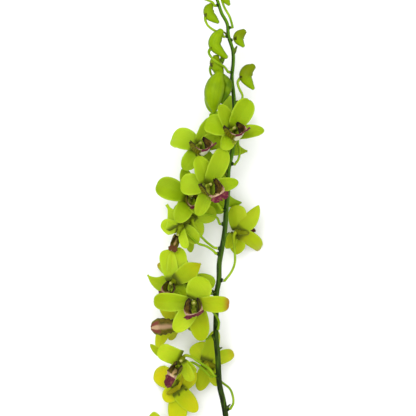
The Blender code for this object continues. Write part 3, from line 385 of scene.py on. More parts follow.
BUDS = [
    new_bud(
        1, 120, [(219.5, 74.5, 49, 3.5), (216.5, 83, 50, 8), (214, 93, 50, 9), (213.5, 103, 49, 6.5),
         (214, 112, 48, 1.5)],
        [(209, 88, 46), (205.8, 97, 45), (206.4, 104, 45), (210, 110.8, 44), (218, 116, 42), (226, 119, 40)],
        lobe=[(222.5, 77, 47, 3.5), (227.6, 84, 46.5, 4.8), (226.2, 92, 46.5, 4.6), (221.5, 103, 47, 1.6)],
        look=(0.15, 0.8, 0)),
    new_bud(
        2, 108, [(253, 66.5, 38, 2.4), (248, 70.5, 38, 5.4), (245.6, 76.5, 38, 5.6), (249, 83, 38, 3.6),
         (253.3, 88.6, 38, 0.9)],
        [(240.5, 78, 38), (237.6, 82.5, 38), (239.6, 89.5, 38), (242.6, 96, 38), (240.5, 104, 38)],
        look=(0.75, 0.55, 2)),
    new_bud(
        3, 88, [(216, 57.5, 41, 2.6), (215.4, 63, 41, 5), (218.5, 70, 40, 4.6), (221.5, 78, 39, 1.6)],
        [(211.6, 65, 41), (210, 70, 39), (212, 76, 36), (219, 83, 35), (226, 87, 37)],
        lobe=[(217, 68, 38, 2.5), (221, 61.5, 37, 2.9), (224.6, 55, 36.5, 1.6)], look=(0.45, 0.4, 2.4)),
    new_bud(
        4, 71, [(221, 31.5, 44, 2.4), (216.5, 38, 44, 5.2), (214.6, 45, 44, 5.4), (219.4, 51.4, 44, 3.8),
         (226.3, 57.5, 43, 1.2)],
        [(211.5, 48, 46), (208.8, 52.5, 47.5), (211.5, 58, 50), (217.3, 63, 49.5), (224, 67, 45)],
        look=(0.1, 0.3, 0.8)),
    new_bud(
        5, 39, [(244, 31.5, 37, 2.2), (239.8, 35.3, 37, 4.6), (238.8, 39.8, 37, 4.2),
         (243.3, 46.2, 37, 0.9)],
        [(235.5, 38.5, 37)], look=(0.75, 0.5, 2.2)),
    new_bud(
        6, 34.5, [(211.2, 5, 35, 1.8), (208.9, 9, 35, 4.2), (209.4, 14.4, 35, 4.6),
         (213.8, 18.7, 35.5, 3.2), (218, 22.3, 36, 0.9)],
        [(205.9, 15.5, 35.5), (205.3, 20, 36), (208.5, 26.3, 37), (215.3, 31, 37.5), (222, 33.5, 37.5)],
        look=(0.2, 0.5, 2.2)),
    new_bud(
        7, 27, [(226.5, -15, 37, 1.8), (223.6, -8.5, 37, 4.2), (225.6, -1, 37, 3.4), (229, 4.6, 37, 0.8)],
        [(220.9, -4, 37), (224, 6.6, 37.5), (229, 15.5, 38), (231.2, 21.5, 37.5)]),
    new_bud(
        8, 4, [(199.5, -18.5, 36, 1.4), (197.4, -13.5, 36, 3.2), (199.6, -8.5, 36, 2.4),
         (203.3, -5.5, 36, 0.7)],
        [(195.5, -10.5, 37), (198.5, -3.5, 38.5), (206.5, 0, 40), (212.5, 2.5, 38.5)]),
    new_bud(
        9, -17, [(219, -33, 35, 1), (216.6, -29, 35, 2.5), (218.4, -24.5, 35, 1.8), (221.5, -21.5, 35, 0.6)],
        [(214.8, -26.5, 35), (214.2, -21, 35)]),
]


def place(x, y, z):
    """A point of the plan in the model's frame, in metres."""
    return Vector((x - PLAN_MIDDLE_X, PLAN_MIDDLE_Y - y, z)) * MM


def heading(x, y, z):
    """A direction of the plan in the model's frame."""
    return Vector((x, -y, z)).normalized()


def across(axis, hint):
    """The part of hint that stands square to axis, as a unit vector."""
    return (hint - axis * hint.dot(axis)).normalized()


def catmull(points, steps):
    """A smooth run through the points, with steps pieces between each two; works on tuples of any length."""
    rows = [tuple(p) for p in points]
    rows = [tuple(2 * a - b for a, b in zip(rows[0], rows[1]))] + rows
    rows.append(tuple(2 * a - b for a, b in zip(rows[-1], rows[-2])))
    out = []
    for i in range(1, len(rows) - 2):
        p0, p1, p2, p3 = rows[i - 1:i + 3]
        for k in range(steps):
            t = k / steps
            out.append(tuple(
                0.5 * (2 * b + (c - a) * t + (2 * a - 5 * b + 4 * c - d) * t * t
                       + (3 * b - a - 3 * c + d) * t ** 3)
                for a, b, c, d in zip(p0, p1, p2, p3)))
    out.append(rows[-2])
    return out


def length_of(points):
    """The length of a run of points."""
    return sum((b - a).length for a, b in zip(points, points[1:]))


def even(points, count):
    """count + 1 points spaced evenly along a dense run."""
    total = length_of(points)
    out = [points[0]]
    walked = 0.0
    for a, b in zip(points, points[1:]):
        step = (b - a).length
        while len(out) < count and walked + step >= total * len(out) / count:
            share = (total * len(out) / count - walked) / step
            out.append(a.lerp(b, share))
        walked += step
    out.append(points[-1])
    return out


def outline(spec, along):
    """The share of a tepal's half width at a place between its root and its tip."""
    root, peak, blunt = KINDS[spec.kind][:3]
    root = spec.fill or root
    blunt = spec.blunt or blunt
    if along < peak:
        return root + (1.0 - root) * math.sin(0.5 * math.pi * along / peak)
    late = (along - peak) / (1.0 - peak)
    return max((1.0 - late ** blunt) ** (1.0 / blunt), NARROWEST_TIP)


def rolled(half, roll, side):
    """Offset sideways and offset towards the face, of a place on a cross-section that is rolled up."""
    if abs(roll) < 0.02:
        return half * side, 0.0
    angle = roll * abs(side)
    return math.copysign(half * math.sin(angle) / roll, side), half * (1.0 - math.cos(angle)) / roll


def bezier(p0, p1, p2, p3, t):
    """A point and the tangent of a cubic curve."""
    s = 1.0 - t
    point = p0 * s ** 3 + p1 * 3 * s * s * t + p2 * 3 * s * t * t + p3 * t ** 3
    tangent = (p1 - p0) * s * s + (p2 - p1) * 2 * s * t + (p3 - p2) * t * t
    return point, tangent.normalized()


def tepal_surface(root, spec, facing):
    """The surface of a tepal, as a function of the place along it and across it."""
    tip = place(*spec.tip)
    run = tip - root
    axis = run.normalized()
    face = across(axis, heading(*spec.face) if spec.face else facing)
    edge = axis.cross(face)
    first, second = [root + run * k / 3 + (face * bow + edge * spec.side) * run.length
                     for k, bow in enumerate(spec.bow, 1)]
    half = spec.width * MM / 2

    def surface(along, side):
        point, tangent = bezier(root, first, second, tip, along)
        wide = across(tangent, edge)
        up = wide.cross(tangent)
        roll = (spec.cup[0] if side < 0 else spec.cup[1]) * min(along / FLAT_ROOT, 1.0)
        sideways, lift = rolled(half * outline(spec, along), roll, side)
        return point + wide * sideways + up * lift

    return surface


def turned(way, other, angle):
    """A direction turned by an angle towards another at right angles to it."""
    return way * math.cos(angle) + other * math.sin(angle)


def lip_root(bloom):
    """Where a bloom's lip starts, just in front of its hinge on the chin."""
    centre, facing, down = frame_of(bloom)
    return centre + (down * LIP_ROOT_DOWN + facing * LIP_ROOT_OUT) * MM


def frame_of(bloom):
    """A bloom's centre, the way it faces and the way its lip hangs."""
    facing = heading(*bloom.facing)
    down = across(facing, heading(*bloom.down))
    return place(*bloom.centre), facing, down


def node_on_rachis(plan_y, towards):
    """Where a stalk leaves the rachis: the axis point, the outward direction and the rachis's radius."""
    rows = catmull(RACHIS, RACHIS_SMOOTHING)
    points = [place(*row[:3]) for row in rows]
    level = PLAN_MIDDLE_Y * MM - plan_y * MM
    best = min(range(1, len(points) - 1), key=lambda i: abs(points[i].y - level))
    axis = (points[best + 1] - points[best - 1]).normalized()
    return points[best], across(axis, towards - points[best]), rows[best][3] * MM


def added(name, data):
    """A new object with this data, in the scene."""
    made = bpy.data.objects.new(name, data)
    bpy.context.scene.collection.objects.link(made)
    return made


class Body:
    """Gathers shells into one mesh, with a place along and across on each corner and tints on each point."""

    def __init__(self):
        self.points, self.tints, self.faces, self.places, self.kinds = [], [], [], [], []

    def add(self, points, faces, places, kind, tint):
        """Adds a shell: its faces count from its own first point, and places holds one pair for each corner.

        The kind and the tint are one for the whole shell, or a list with one for each face and each point.
        """
        first = len(self.points)
        self.points.extend(points)
        self.tints.extend(tint if isinstance(tint, list) else [tint] * len(points))
        self.faces.extend(tuple(first + i for i in face) for face in faces)
        self.places.extend(places)
        self.kinds.extend(kind if isinstance(kind, list) else [kind] * len(faces))

    def make(self, name, materials):
        """The gathered mesh as a smooth object with these materials."""
        mesh = bpy.data.meshes.new(name)
        mesh.from_pydata(self.points, [], self.faces)
        layer = mesh.uv_layers.new(name="Place")
        layer.data.foreach_set("uv", np.array(self.places, dtype=np.float32).ravel())
        tint = mesh.attributes.new("tint", "FLOAT_VECTOR", "POINT")
        tint.data.foreach_set("vector", np.array(self.tints, dtype=np.float32).ravel())
        for each in materials:
            mesh.materials.append(each)
        mesh.polygons.foreach_set("material_index", self.kinds)
        mesh.polygons.foreach_set("use_smooth", [True] * len(mesh.polygons))
        mesh.validate()
        mesh.update()
        return added(name, mesh)


def dress(body, node, materials):
    """Makes the gathered mesh the fine piece that stands for a node."""
    made = body.make("fine_" + node, [MATERIALS[each] for each in materials])
    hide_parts(node)
    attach(made, "root")


def smooth(low, high, value):
    """A soft step from 0 at low to 1 at high."""
    share = min(max((value - low) / (high - low), 0.0), 1.0)
    return share * share * (3.0 - 2.0 * share)


def hump(value, middle, width):
    """A soft bump of height 1 round a middle."""
    return math.exp(-((value - middle) / width) ** 2)


def blade_shell(body, surface, relief, size, thickness, kinds, tint):
    """A thin closed blade on a surface(along, side), with relief in mm towards its face."""
    rows, columns = size
    alongs = [math.sin(0.5 * math.pi * i / rows) for i in range(rows + 1)]
    sides = [math.sin(0.5 * math.pi * (2.0 * j / columns - 1.0) * CROWDING)
             / math.sin(0.5 * math.pi * CROWDING) for j in range(columns + 1)]
    flat = np.array([[tuple(surface(a, s)) for s in sides] for a in alongs])
    face = np.cross(np.gradient(flat, axis=1), np.gradient(flat, axis=0))
    face /= np.maximum(np.linalg.norm(face, axis=2, keepdims=True), 1e-12)
    lift = np.array([[relief(a, s) for s in sides] for a in alongs])[..., None] * MM
    thick, rim = thickness
    half = np.array([[rim + (thick - rim) * (1.0 - s ** RIM_POWER) * (1.0 - a ** TIP_POWER) for s in sides]
                     for a in alongs])[..., None] * MM / 2
    both = np.array([flat + face * (lift + half), flat + face * (lift - half)])
    both[..., 2] += np.maximum(-both[..., 2].min(axis=0), 0.0)
    points = [tuple(p) for p in both.reshape(-1, 3)]
    wide = columns + 1
    below = (rows + 1) * wide

    def place_of(i, j):
        return alongs[i], 0.5 + 0.5 * sides[j]

    faces, places = ([], []), ([], [])
    for i in range(rows):
        for j in range(columns):
            corners = [(i, j), (i, j + 1), (i + 1, j + 1), (i + 1, j)]
            for k in (0, 1):
                faces[k].append([k * below + a * wide + b for a, b in corners])
                places[k].extend(place_of(*c) for c in corners)
                corners.reverse()
    rim_line = [(0, j) for j in range(columns)] + [(i, columns) for i in range(rows)]
    rim_line += [(rows, j) for j in range(columns, 0, -1)] + [(i, 0) for i in range(rows, 0, -1)]
    for (i, j), (k, m) in zip(rim_line, rim_line[1:] + rim_line[:1]):
        a, b = i * wide + j, k * wide + m
        faces[1].append([b, a, below + a, below + b])
        places[1].extend([place_of(k, m), place_of(i, j), place_of(i, j), place_of(k, m)])
    all_kinds = [kinds[0]] * len(faces[0]) + [kinds[1]] * len(faces[1])
    body.add(points, faces[0] + faces[1], places[0] + places[1], all_kinds, tint)


def tube_shell(body, points, radii, sides, kind, tint, shape=None, hint=None):
    """A closed round tube. shape(share, angle) scales its radius, and hint turns where the angle starts.

    The tint is one for the whole tube, or a function of a point, its share along and its way outwards.
    """
    count = len(points)
    tangents = [(points[min(i + 1, count - 1)] - points[max(i - 1, 0)]).normalized() for i in range(count)]
    start = hint if hint is not None else Vector((0.0, 0.0, 1.0))
    if abs(start.dot(tangents[0])) > 0.99:
        start = Vector((1.0, 0.0, 0.0))
    normal = across(tangents[0], start)
    total = max(length_of(points), 1e-9)
    walked = 0.0
    verts, faces, places, shares, tints = [], [], [], [], []
    for i, (point, tangent, radius) in enumerate(zip(points, tangents, radii)):
        if i:
            walked += (point - points[i - 1]).length
        normal = across(tangent, normal)
        other = tangent.cross(normal)
        share = walked / total
        shares.append(share)
        for k in range(sides):
            angle = 2.0 * math.pi * k / sides
            scale = shape(share, angle) if shape else 1.0
            out = turned(normal, other, angle)
            verts.append(tuple(point + out * radius * scale))
            tints.append(tint(point + out * radius, share, out) if callable(tint) else tint)
    for i in range(count - 1):
        for k in range(sides):
            after = (k + 1) % sides
            faces.append([i * sides + k, i * sides + after, (i + 1) * sides + after, (i + 1) * sides + k])
            u0, u1 = k / sides, (k + 1) / sides
            places.extend([(shares[i], u0), (shares[i], u1), (shares[i + 1], u1), (shares[i + 1], u0)])
    for end, ring in ((0, 0), (1, count - 1)):
        middle = len(verts)
        verts.append(tuple(points[ring]))
        tints.append(tints[ring * sides])
        for k in range(sides):
            a, b = ring * sides + k, ring * sides + (k + 1) % sides
            faces.append([a, middle, b] if end == 0 else [a, b, middle])
            places.extend([(shares[ring], (k + 0.5) / sides)] * 3)
    body.add(verts, faces, places, kind, tints)


def round_ends(points, radii, start=True, end=True, depth=0.75):
    """Adds shrinking rings past the ends of a tube, so that it ends in a dome."""
    points, radii = list(points), list(radii)
    for wanted in (start, end):
        points.reverse()
        radii.reverse()
        if wanted:
            tip, radius = points[-1], radii[-1]
            way = (tip - points[-2]).normalized()
            for k in range(1, DOME_RINGS + 1):
                angle = 0.5 * math.pi * k / DOME_RINGS
                points.append(tip + way * radius * depth * math.sin(angle))
                radii.append(radius * max(math.cos(angle), LEAST_RING))
    return points, radii


def smooth_run(rows, steps):
    """A smooth run of rows (x, y, z, radius) in metres, as points and radii."""
    run = catmull(rows, steps)
    return [Vector(row[:3]) for row in run], [max(row[3], 1e-5) for row in run]


def domed(body, rows, steps, sides, kind, tint, shape=None, hint=None, **ends):
    """A smooth tube through rows (x, y, z, radius) in metres, with the domes of round_ends."""
    tube_shell(body, *round_ends(*smooth_run(rows, steps), **ends), sides, kind, tint, shape, hint)


def placed(rows, swell=0.0):
    """Rows of the plan (x, y, z, radius) in the model's frame, with swell added to the radius."""
    return [(*place(x, y, z), (radius + swell) * MM) for x, y, z, radius in rows]


def tepal_relief(seed, spec, calm):
    """The small forms of a tepal: a crease along its middle, waves along its rim and slow lumps."""
    size = max(spec.width, LEAST_WIDTH) * calm

    def relief(along, side):
        lump = noise.noise(Vector((along * 2.4, side * 1.3, seed * 7.31)))
        rim = noise.noise(Vector((along * 5.5, math.copysign(2.0, side), seed * 3.77)))
        crease = -CREASE_DEPTH * hump(side, 0.0, 0.10) * smooth(0.05, 0.25, along)
        crease *= 1.0 - smooth(0.8, 1.0, along)
        ribs = RIB_HEIGHT * math.cos(side * 26.0) * (1.0 - abs(side)) * smooth(0.1, 0.3, along)
        waves = smooth(0.0, 0.3, along) * (LUMP_HEIGHT * lump + WAVE_HEIGHT * rim * side * side)
        return crease + ribs + waves * size / WAVED_WIDTH

    return relief


def bloom_piece(bloom, number):
    """The green body of a bloom in fine form."""
    centre, facing, down = frame_of(bloom)
    body = Body()
    laterals = 0
    for index, spec in enumerate(bloom.tepals):
        low, out = KINDS[spec.kind][3:]
        if spec.kind == "lateral":
            out += SECOND_LATERAL_OUT * laterals
            laterals += 1
        away = across(facing, place(*spec.tip) - centre)
        root = centre + (down * low + facing * out + away * ROOT_AWAY) * MM
        seed = number * 11 + index
        wobble = PALE_WOBBLE * noise.noise(Vector((seed * 1.7, 0.3, 0.9)))
        tint = (min(max(bloom.pale + spec.paler + wobble, 0.0), 1.0), min(bloom.yellow + spec.yellower, 1.0),
                spec.brown)
        blade_shell(body, tepal_surface(root, spec, facing), tepal_relief(seed, spec, bloom.calm),
                    TEPAL_SIZE, TEPAL_THICKNESS, (0, 0), tint)
    tint = (bloom.pale, bloom.yellow, 0.0)
    skin = 1 if bloom.front else 4
    hinge = lip_root(bloom) - facing * LIP_GAP * MM
    chin = centre + (down * CHIN_DOWN - facing * CHIN_BACK) * MM
    rows = [(*p, CHIN_RADIUS * share * MM) for p, share in zip((centre, chin, hinge), CHIN_TAPER)]
    domed(body, rows, FINE_STEPS, CHIN_SIDES, skin, tint, start=False)
    column_piece(body, centre, facing, down, tint, skin)
    stalk_piece(body, centre - facing * NECK_BACK * MM, bloom, 2, 1.0)
    dress(body, bloom.name, ("tepal", "column", "stalk", "cap", "chin"))


def column_piece(body, centre, facing, down, tint, kind):
    """The column, flat and hollow below near its tip, with the anther's cap on it."""
    tip = centre + (facing * COLUMN_LENGTH - down * COLUMN_RISE) * MM
    rows = [(*centre.lerp(tip, share), radius * MM) for share, radius in COLUMN_PROFILE]

    def shape(share, angle):
        hollow = hump(abs(angle - math.pi), math.pi, 0.75)
        return 1.0 - COLUMN_HOLLOW * hollow * smooth(0.45, 0.7, share)

    domed(body, rows, COLUMN_STEPS, COLUMN_SIDES, kind, tint, shape, down, depth=0.4)
    cap = centre.lerp(tip, CAP_PLACE) - down * CAP_RISE * MM
    rows = [(*(cap + facing * out * MM), radius * MM) for out, radius in CAP_PROFILE]
    domed(body, rows, SHORT_STEPS, CAP_SIDES, 3, tint, None, down, depth=0.5)


def stalk_piece(body, start, spec, kind, share):
    """A pedicel: a slim ribbed stalk, a little thicker at both ends."""
    route = [start] + [place(*p) for p in spec.pedicel]
    axis_point, out, radius = node_on_rachis(spec.node, route[-1])
    seat = axis_point + out * (radius + (BOSS_HEIGHT + SEAT_GAP) * MM)
    route.append(seat + out * SEAT_RUN * MM)
    run = [Vector(p) for p in catmull(route, FINE_STEPS)]
    count = max(6, round(length_of(run) / (STALK_RING_GAP * MM)))
    points = even(run, count) + [seat]
    radii = []
    for i in range(len(points)):
        place_on = i / (len(points) - 1)
        ovary = OVARY_SWELL * (1.0 - smooth(0.0, 0.3, place_on))
        foot = FOOT_SWELL * smooth(0.9, 1.0, place_on)
        radii.append(PEDICEL_RADIUS * share * (1.0 + ovary + foot) * MM)
    joint, age = (1.0, 0.0) if spec in BUDS else (0.0, spec.yellow)

    def shape(along, angle):
        return 1.0 + STALK_RIBS * math.cos(6.0 * angle + 1.2 * along) * (1.0 - smooth(0.2, 0.7, along))

    # Painted shade: the first tint darkens the side of the stalk that faces -x. The second is its age, the
    # third the brown joint at a bud.
    def colour(_, along, out):
        yellow = age * (1.0 - smooth(0.1, 0.45, along))
        return max(-out.x, 0.0), yellow, joint * (1.0 - smooth(0.03, 0.13, along))

    tube_shell(body, points, radii, STALK_SIDES, kind, colour, shape)


LIP_CURVE = catmull(LIP_PROFILE, PROFILE_STEPS)
SPOON_CURVE = catmull(SPOON_PROFILE, PROFILE_STEPS)


def fine_lip_surface(bloom):
    """The lip's surface with rounded lobes and a notched middle lobe."""
    _, facing, down = frame_of(bloom)
    forward, drop, share, flare, twist = bloom.lip
    p0 = lip_root(bloom)
    p1, p2, p3 = [p0 + (facing * forward * out + down * (drop * low - LIP_RISE * rise)) * MM
                  for out, rise, low in LIP_MIDLINE]
    edge = down.cross(facing)
    places, widths, rolls = zip(*(SPOON_CURVE if bloom.spoon else LIP_CURVE))
    frill = SPOON_FRILL if bloom.spoon else 1.0

    def surface(along, side):
        notch = NOTCH_DEPTH * sum(hump(side, k, 0.14) for k in NOTCH_PLACES) * smooth(0.7, 1.0, along) * frill
        point, tangent = bezier(p0, p1, p2, p3, along - notch)
        wide = across(tangent, edge)
        up = wide.cross(tangent)
        width = float(np.interp(along, places, widths))
        width *= share * (1.0 + flare * (min(along, LIP_FLARE_END) - LIP_FLARE_MIDDLE))
        width *= 1.0 + WAVED_OUTLINE * frill * math.sin(along * 38.0 + 2.0) * smooth(0.5, 1.0, abs(side))
        roll = float(np.interp(along, places, rolls)) * (1.0 - (bloom.opened if side > 0 else 0.0))
        sideways, lift = rolled(LIP_WIDTH * MM / 2 * width, roll, side)
        turn = twist * max(along - LIP_TWIST_START, 0.0) / (1.0 - LIP_TWIST_START)
        return point + turned(wide, up, turn) * sideways + turned(up, -wide, turn) * lift

    return surface


def lip_relief(seed, calm):
    """The small forms of a lip: three keels on its floor, frilled rims and fine wrinkles."""

    def relief(along, side):
        keels = sum(hump(side, k, 0.035) for k in KEEL_PLACES)
        keels *= KEEL_HEIGHT * smooth(0.12, 0.25, along) * (1.0 - smooth(0.66, 0.76, along))
        wave = math.sin(along * 34.0 + 1.3 * math.sin(seed + side * 2.0))
        frill = FRILL_HEIGHT * wave * abs(side) ** 3 * smooth(0.1, 0.3, along)
        front = FRONT_HEIGHT * math.sin(side * 13.0 + seed) * smooth(0.72, 1.0, along)
        grain = WRINKLE_HEIGHT * noise.noise(Vector((along * 14.0, side * 8.0, seed * 2.13)))
        return keels + (frill + front + grain) * calm

    return relief


def lip_piece(bloom, number):
    """The lip of a bloom in fine form."""
    body = Body()
    blade_shell(body, fine_lip_surface(bloom), lip_relief(number * 5.7, bloom.calm), LIP_SIZE, LIP_THICKNESS,
                (0, 1), bloom.look)
    dress(body, bloom.name + "_lip", ("lip_inner", "lip_outer"))


def bud_piece(spec, number):
    """A bud in fine form: three closed sepals with faint seams, and its stalk."""
    body = Body()
    bronze, below, joint_size = spec.look
    joint = place(*spec.pedicel[0])

    def colour(point, share, out):
        # Painted light: lit is high where the skin faces up and low at the sides, so the top is bright and
        # the sides deep.
        lit = smooth(-0.1, 0.9, out.z) + 0.25 * noise.noise(Vector((share * 4.0, number * 2.9, out.x)))
        turned_brown = bronze * (1.0 - smooth(below - 0.2, below + 0.2, share))
        far = math.hypot(point.x - joint.x, point.y - joint.y) / MM
        return lit, turned_brown, (1.0 - smooth(0.0, 2.2 * joint_size, far)) if joint_size else 0.0

    def shape(share, angle):
        seams = sum(hump(math.remainder(angle - turn, 2.0 * math.pi), 0.0, 0.10) for turn in SEAM_ANGLES)
        return 1.0 - SEAM_DEPTH * seams * smooth(0.0, 0.12, share) * (1.0 - smooth(0.9, 1.0, share))

    for rows, kind in ((placed(spec.spine, BUD_SWELL), 0), (placed(spec.lobe), 2)):
        if rows:
            domed(body, rows, FINE_STEPS, BUD_SIDES, kind, colour, shape, depth=0.7)
    coarse = catmull(spec.spine, BUD_SMOOTHING)
    start = joint.lerp(place(*coarse[len(coarse) // 2][:3]), BUD_STALK_DEPTH)
    stalk_piece(body, start, spec, 1, BUD_STALK_SHARE if len(spec.pedicel) > 1 else SHORT_STALK_SHARE)
    dress(body, spec.name, ("bud", "stalk", "bud_dark"))


def rachis_piece():
    """The rachis in fine form, with its bosses, scales and slanted cut."""
    body = Body()
    # The bosses carry no painted light: with this zero tint the rachis skin gives them its painted-shade
    # colour all round.
    tint = (0.0, 0.0, 0.0)
    cut_place, cut_way = place(*CUT_PLACE), heading(0.0, 1.0, CUT_SLOPE)

    def shape(share, angle):
        return 1.0 + 0.035 * math.cos(5.0 * angle + 9.0 * share) + 0.02 * math.cos(11.0 * angle)

    # Painted light and shade: lighter on the side that faces +x, darker on the side that faces -x, wandering
    # a little along the stem.
    def colour(_, share, out):
        return smooth(-0.7, 0.8, out.x + 0.35 * math.sin(share * 23.0)), 0.0, 0.0

    points, radii = round_ends(*smooth_run(placed(RACHIS), FINE_STEPS), end=False, depth=1.2)
    tube_shell(body, points, radii, RACHIS_SIDES, 0, colour, shape)
    axis = (points[-1] - points[-2]).normalized()
    on_cut = set()
    for i, point in enumerate(body.points):
        past = (Vector(point) - cut_place).dot(cut_way)
        if past > 0.0:
            body.points[i] = tuple(Vector(point) - axis * past / axis.dot(cut_way))
            on_cut.add(i)
    body.kinds = [2 if on_cut.issuperset(face) else kind for face, kind in zip(body.faces, body.kinds)]
    for spec in BLOOMS + BUDS:
        axis_point, out, radius = node_on_rachis(spec.node, place(*spec.pedicel[-1]))
        top = radius + BOSS_HEIGHT * MM
        wide = BOSS_RADIUS * MM * (BUD_BOSS_SHARE if spec in BUDS else 1.0)
        tube_shell(body, [axis_point + out * top * along for along, _ in BOSS_PROFILE],
                   [wide * share for _, share in BOSS_PROFILE], BOSS_SIDES, 0, tint)
    for x, y, z, root_y, radius in BRACTS:
        tip = place(x, y, z)
        root, _, _ = node_on_rachis(root_y, tip)
        rows = [(*root.lerp(tip, along), radius * share * MM) for along, share in BRACT_PROFILE]
        domed(body, rows, SHORT_STEPS, BRACT_SIDES, 1, tint, start=False)
    dress(body, "rachis", ("rachis", "bract", "pith"))


def linear(*screen):
    """A colour read off a screen, from 0 to 255, as linear values."""
    shares = [value / 255.0 for value in screen]
    return (*(s / 12.92 if s <= 0.04045 else ((s + 0.055) / 1.055) ** 2.4 for s in shares), 1.0)


class Tree:
    """Short ways to write a material's nodes. A colour of three numbers is one read off a screen."""

    def __init__(self, name, roughness=0.45, subsurface=0.1):
        self.material = bpy.data.materials.new(name)
        self.material.use_nodes = True
        self.nodes = self.material.node_tree.nodes
        self.links = self.material.node_tree.links
        self.shader = self.nodes["Principled BSDF"]
        self.shader.inputs["Roughness"].default_value = roughness
        self.shader.inputs["Subsurface Weight"].default_value = subsurface
        self.shader.inputs["Subsurface Radius"].default_value = (0.5, 1.0, 0.25)
        self.shader.inputs["Subsurface Scale"].default_value = 0.0015
        self.shader.inputs["Specular IOR Level"].default_value = 0.07

    def put(self, socket, value):
        """Links a socket to another, or sets it to a plain value."""
        if isinstance(value, bpy.types.NodeSocket):
            self.links.new(value, socket)
        else:
            socket.default_value = linear(*value) if isinstance(value, tuple) and len(value) == 3 else value

    def math(self, operation, a, b=0.0):
        made = self.nodes.new("ShaderNodeMath")
        made.operation = operation
        self.put(made.inputs[0], a)
        self.put(made.inputs[1], b)
        return made.outputs[0]

    def times(self, a, b):
        return self.math("MULTIPLY", a, b)

    def plus(self, a, b):
        return self.math("ADD", a, b)

    def less(self, a, b):
        return self.math("SUBTRACT", a, b)

    def off(self, value, middle):
        """How far a value is from a middle, on either side."""
        return self.math("ABSOLUTE", self.less(value, middle))

    def step(self, value, low, high):
        """A soft step from 0 at low to 1 at high."""
        made = self.nodes.new("ShaderNodeMapRange")
        made.interpolation_type = "SMOOTHSTEP"
        self.put(made.inputs["Value"], value)
        made.inputs["From Min"].default_value = low
        made.inputs["From Max"].default_value = high
        return made.outputs["Result"]

    def fall(self, value, low, high):
        """A soft step from 1 at low to 0 at high."""
        return self.less(1.0, self.step(value, low, high))

    def mix(self, share, a, b):
        made = self.nodes.new("ShaderNodeMix")
        made.data_type = "RGBA"
        self.put(made.inputs["Factor"], share)
        self.put(made.inputs[6], a)
        self.put(made.inputs[7], b)
        return made.outputs[2]

    def lay(self, colour, new, share, strength=None):
        """The colour with a new one laid over it by a share, at some strength."""
        return self.mix(share if strength is None else self.times(share, strength), colour, new)

    def split(self, vector):
        """The three parts of a vector."""
        made = self.nodes.new("ShaderNodeSeparateXYZ")
        self.links.new(vector, made.inputs[0])
        return tuple(made.outputs)

    def place(self):
        """The place along a blade, and across it from 0 to 1."""
        made = self.nodes.new("ShaderNodeUVMap")
        made.uv_map = "Place"
        return self.split(made.outputs["UV"])[:2]

    def tint(self):
        """The three tints that a piece has on its points; each material reads them its own way."""
        made = self.nodes.new("ShaderNodeAttribute")
        made.attribute_name = "tint"
        return self.split(made.outputs["Vector"])

    def where(self):
        """The place in the model, in metres."""
        return self.nodes.new("ShaderNodeTexCoord").outputs["Object"]

    def noise(self, scale, detail=2.0, vector=None):
        made = self.nodes.new("ShaderNodeTexNoise")
        made.inputs["Scale"].default_value = scale
        made.inputs["Detail"].default_value = detail
        self.links.new(vector or self.where(), made.inputs["Vector"])
        return made.outputs["Fac"]

    def wander(self, scale, reach, detail=3.0):
        """A noise round 0, to fray a seam by."""
        return self.times(self.less(self.noise(scale, detail), 0.5), reach)

    def patches(self, scale, low, high, detail=3.0):
        """Soft patches of a noise."""
        return self.step(self.noise(scale, detail), low, high)

    def lines(self, count, sharpness, wobble):
        """Fine lines along a blade: 1 on a line and 0 between."""
        _, side = self.place()
        bent = self.plus(side, self.wander(90.0, wobble, 2.0))
        wave = self.math("COSINE", self.times(bent, count * 2.0 * math.pi))
        return self.math("POWER", self.math("ABSOLUTE", wave), sharpness)

    def finish(self, colour):
        self.put(self.shader.inputs["Base Color"], colour)
        return self.material

    def bumped(self, colour, height, strength, distance):
        """The material in this colour, with a bump of this height."""
        made = self.nodes.new("ShaderNodeBump")
        made.inputs["Strength"].default_value = strength
        made.inputs["Distance"].default_value = distance
        self.put(made.inputs["Height"], height)
        self.links.new(made.outputs["Normal"], self.shader.inputs["Normal"])
        return self.finish(colour)

    def grained(self, colour):
        """The material in this colour, with a fine grain."""
        return self.bumped(colour, self.noise(1400.0), 0.2, 0.0002)


def tepal_material():
    """Waxy yellow-green tepals: paler or yellower by tint, with faint veins, rims paler with painted
    highlight, brown tips, and a greener, darker heart that is partly painted shade.
    """
    tree = Tree("tepal_skin", 0.46, 0.2)
    pale, age, brown = tree.tint()
    along, side = tree.place()
    colour = tree.mix(tree.step(pale, 0.0, 1.0), (104, 138, 0), (160, 190, 36))
    colour = tree.lay(colour, (190, 182, 10), age)
    # Darker and greener from the middle towards the root: partly the tepal's greener colour, partly painted
    # shade of the heart.
    colour = tree.lay(colour, (92, 128, 0), tree.fall(along, 0.15, 0.75), 0.4)
    colour = tree.lay(colour, (146, 176, 14), tree.patches(38.0, 0.35, 0.7), 0.5)
    veins = tree.lines(8.0, 6.0, 0.03)
    colour = tree.lay(colour, (88, 122, 0), tree.times(veins, tree.times(tree.step(along, 0.05, 0.3), 0.14)))
    # Paler rims: a painted highlight.
    colour = tree.lay(colour, (166, 190, 50), tree.step(tree.off(side, 0.5), 0.38, 0.5), 0.5)
    # Painted shade: very dark olive at the root, where the tepals meet in the shaded heart.
    colour = tree.lay(colour, (62, 70, 6), tree.fall(along, 0.06, 0.22), 0.9)
    colour = tree.lay(colour, (150, 88, 24), tree.step(along, 0.72, 1.0), brown)
    return tree.bumped(colour, tree.plus(veins, tree.noise(900.0)), 0.25, 0.0002)


def plain_material(name, scale, dark, light, *layers):
    """A skin that wanders between two colours, with layers of a colour, a tint's number and a strength."""
    tree = Tree(name)
    tints = tree.tint() if layers else ()
    colour = tree.mix(tree.patches(scale, 0.3, 0.7), dark, light)
    for new, which, strength in layers:
        colour = tree.lay(colour, new, tints[which], strength)
    return tree.grained(colour)


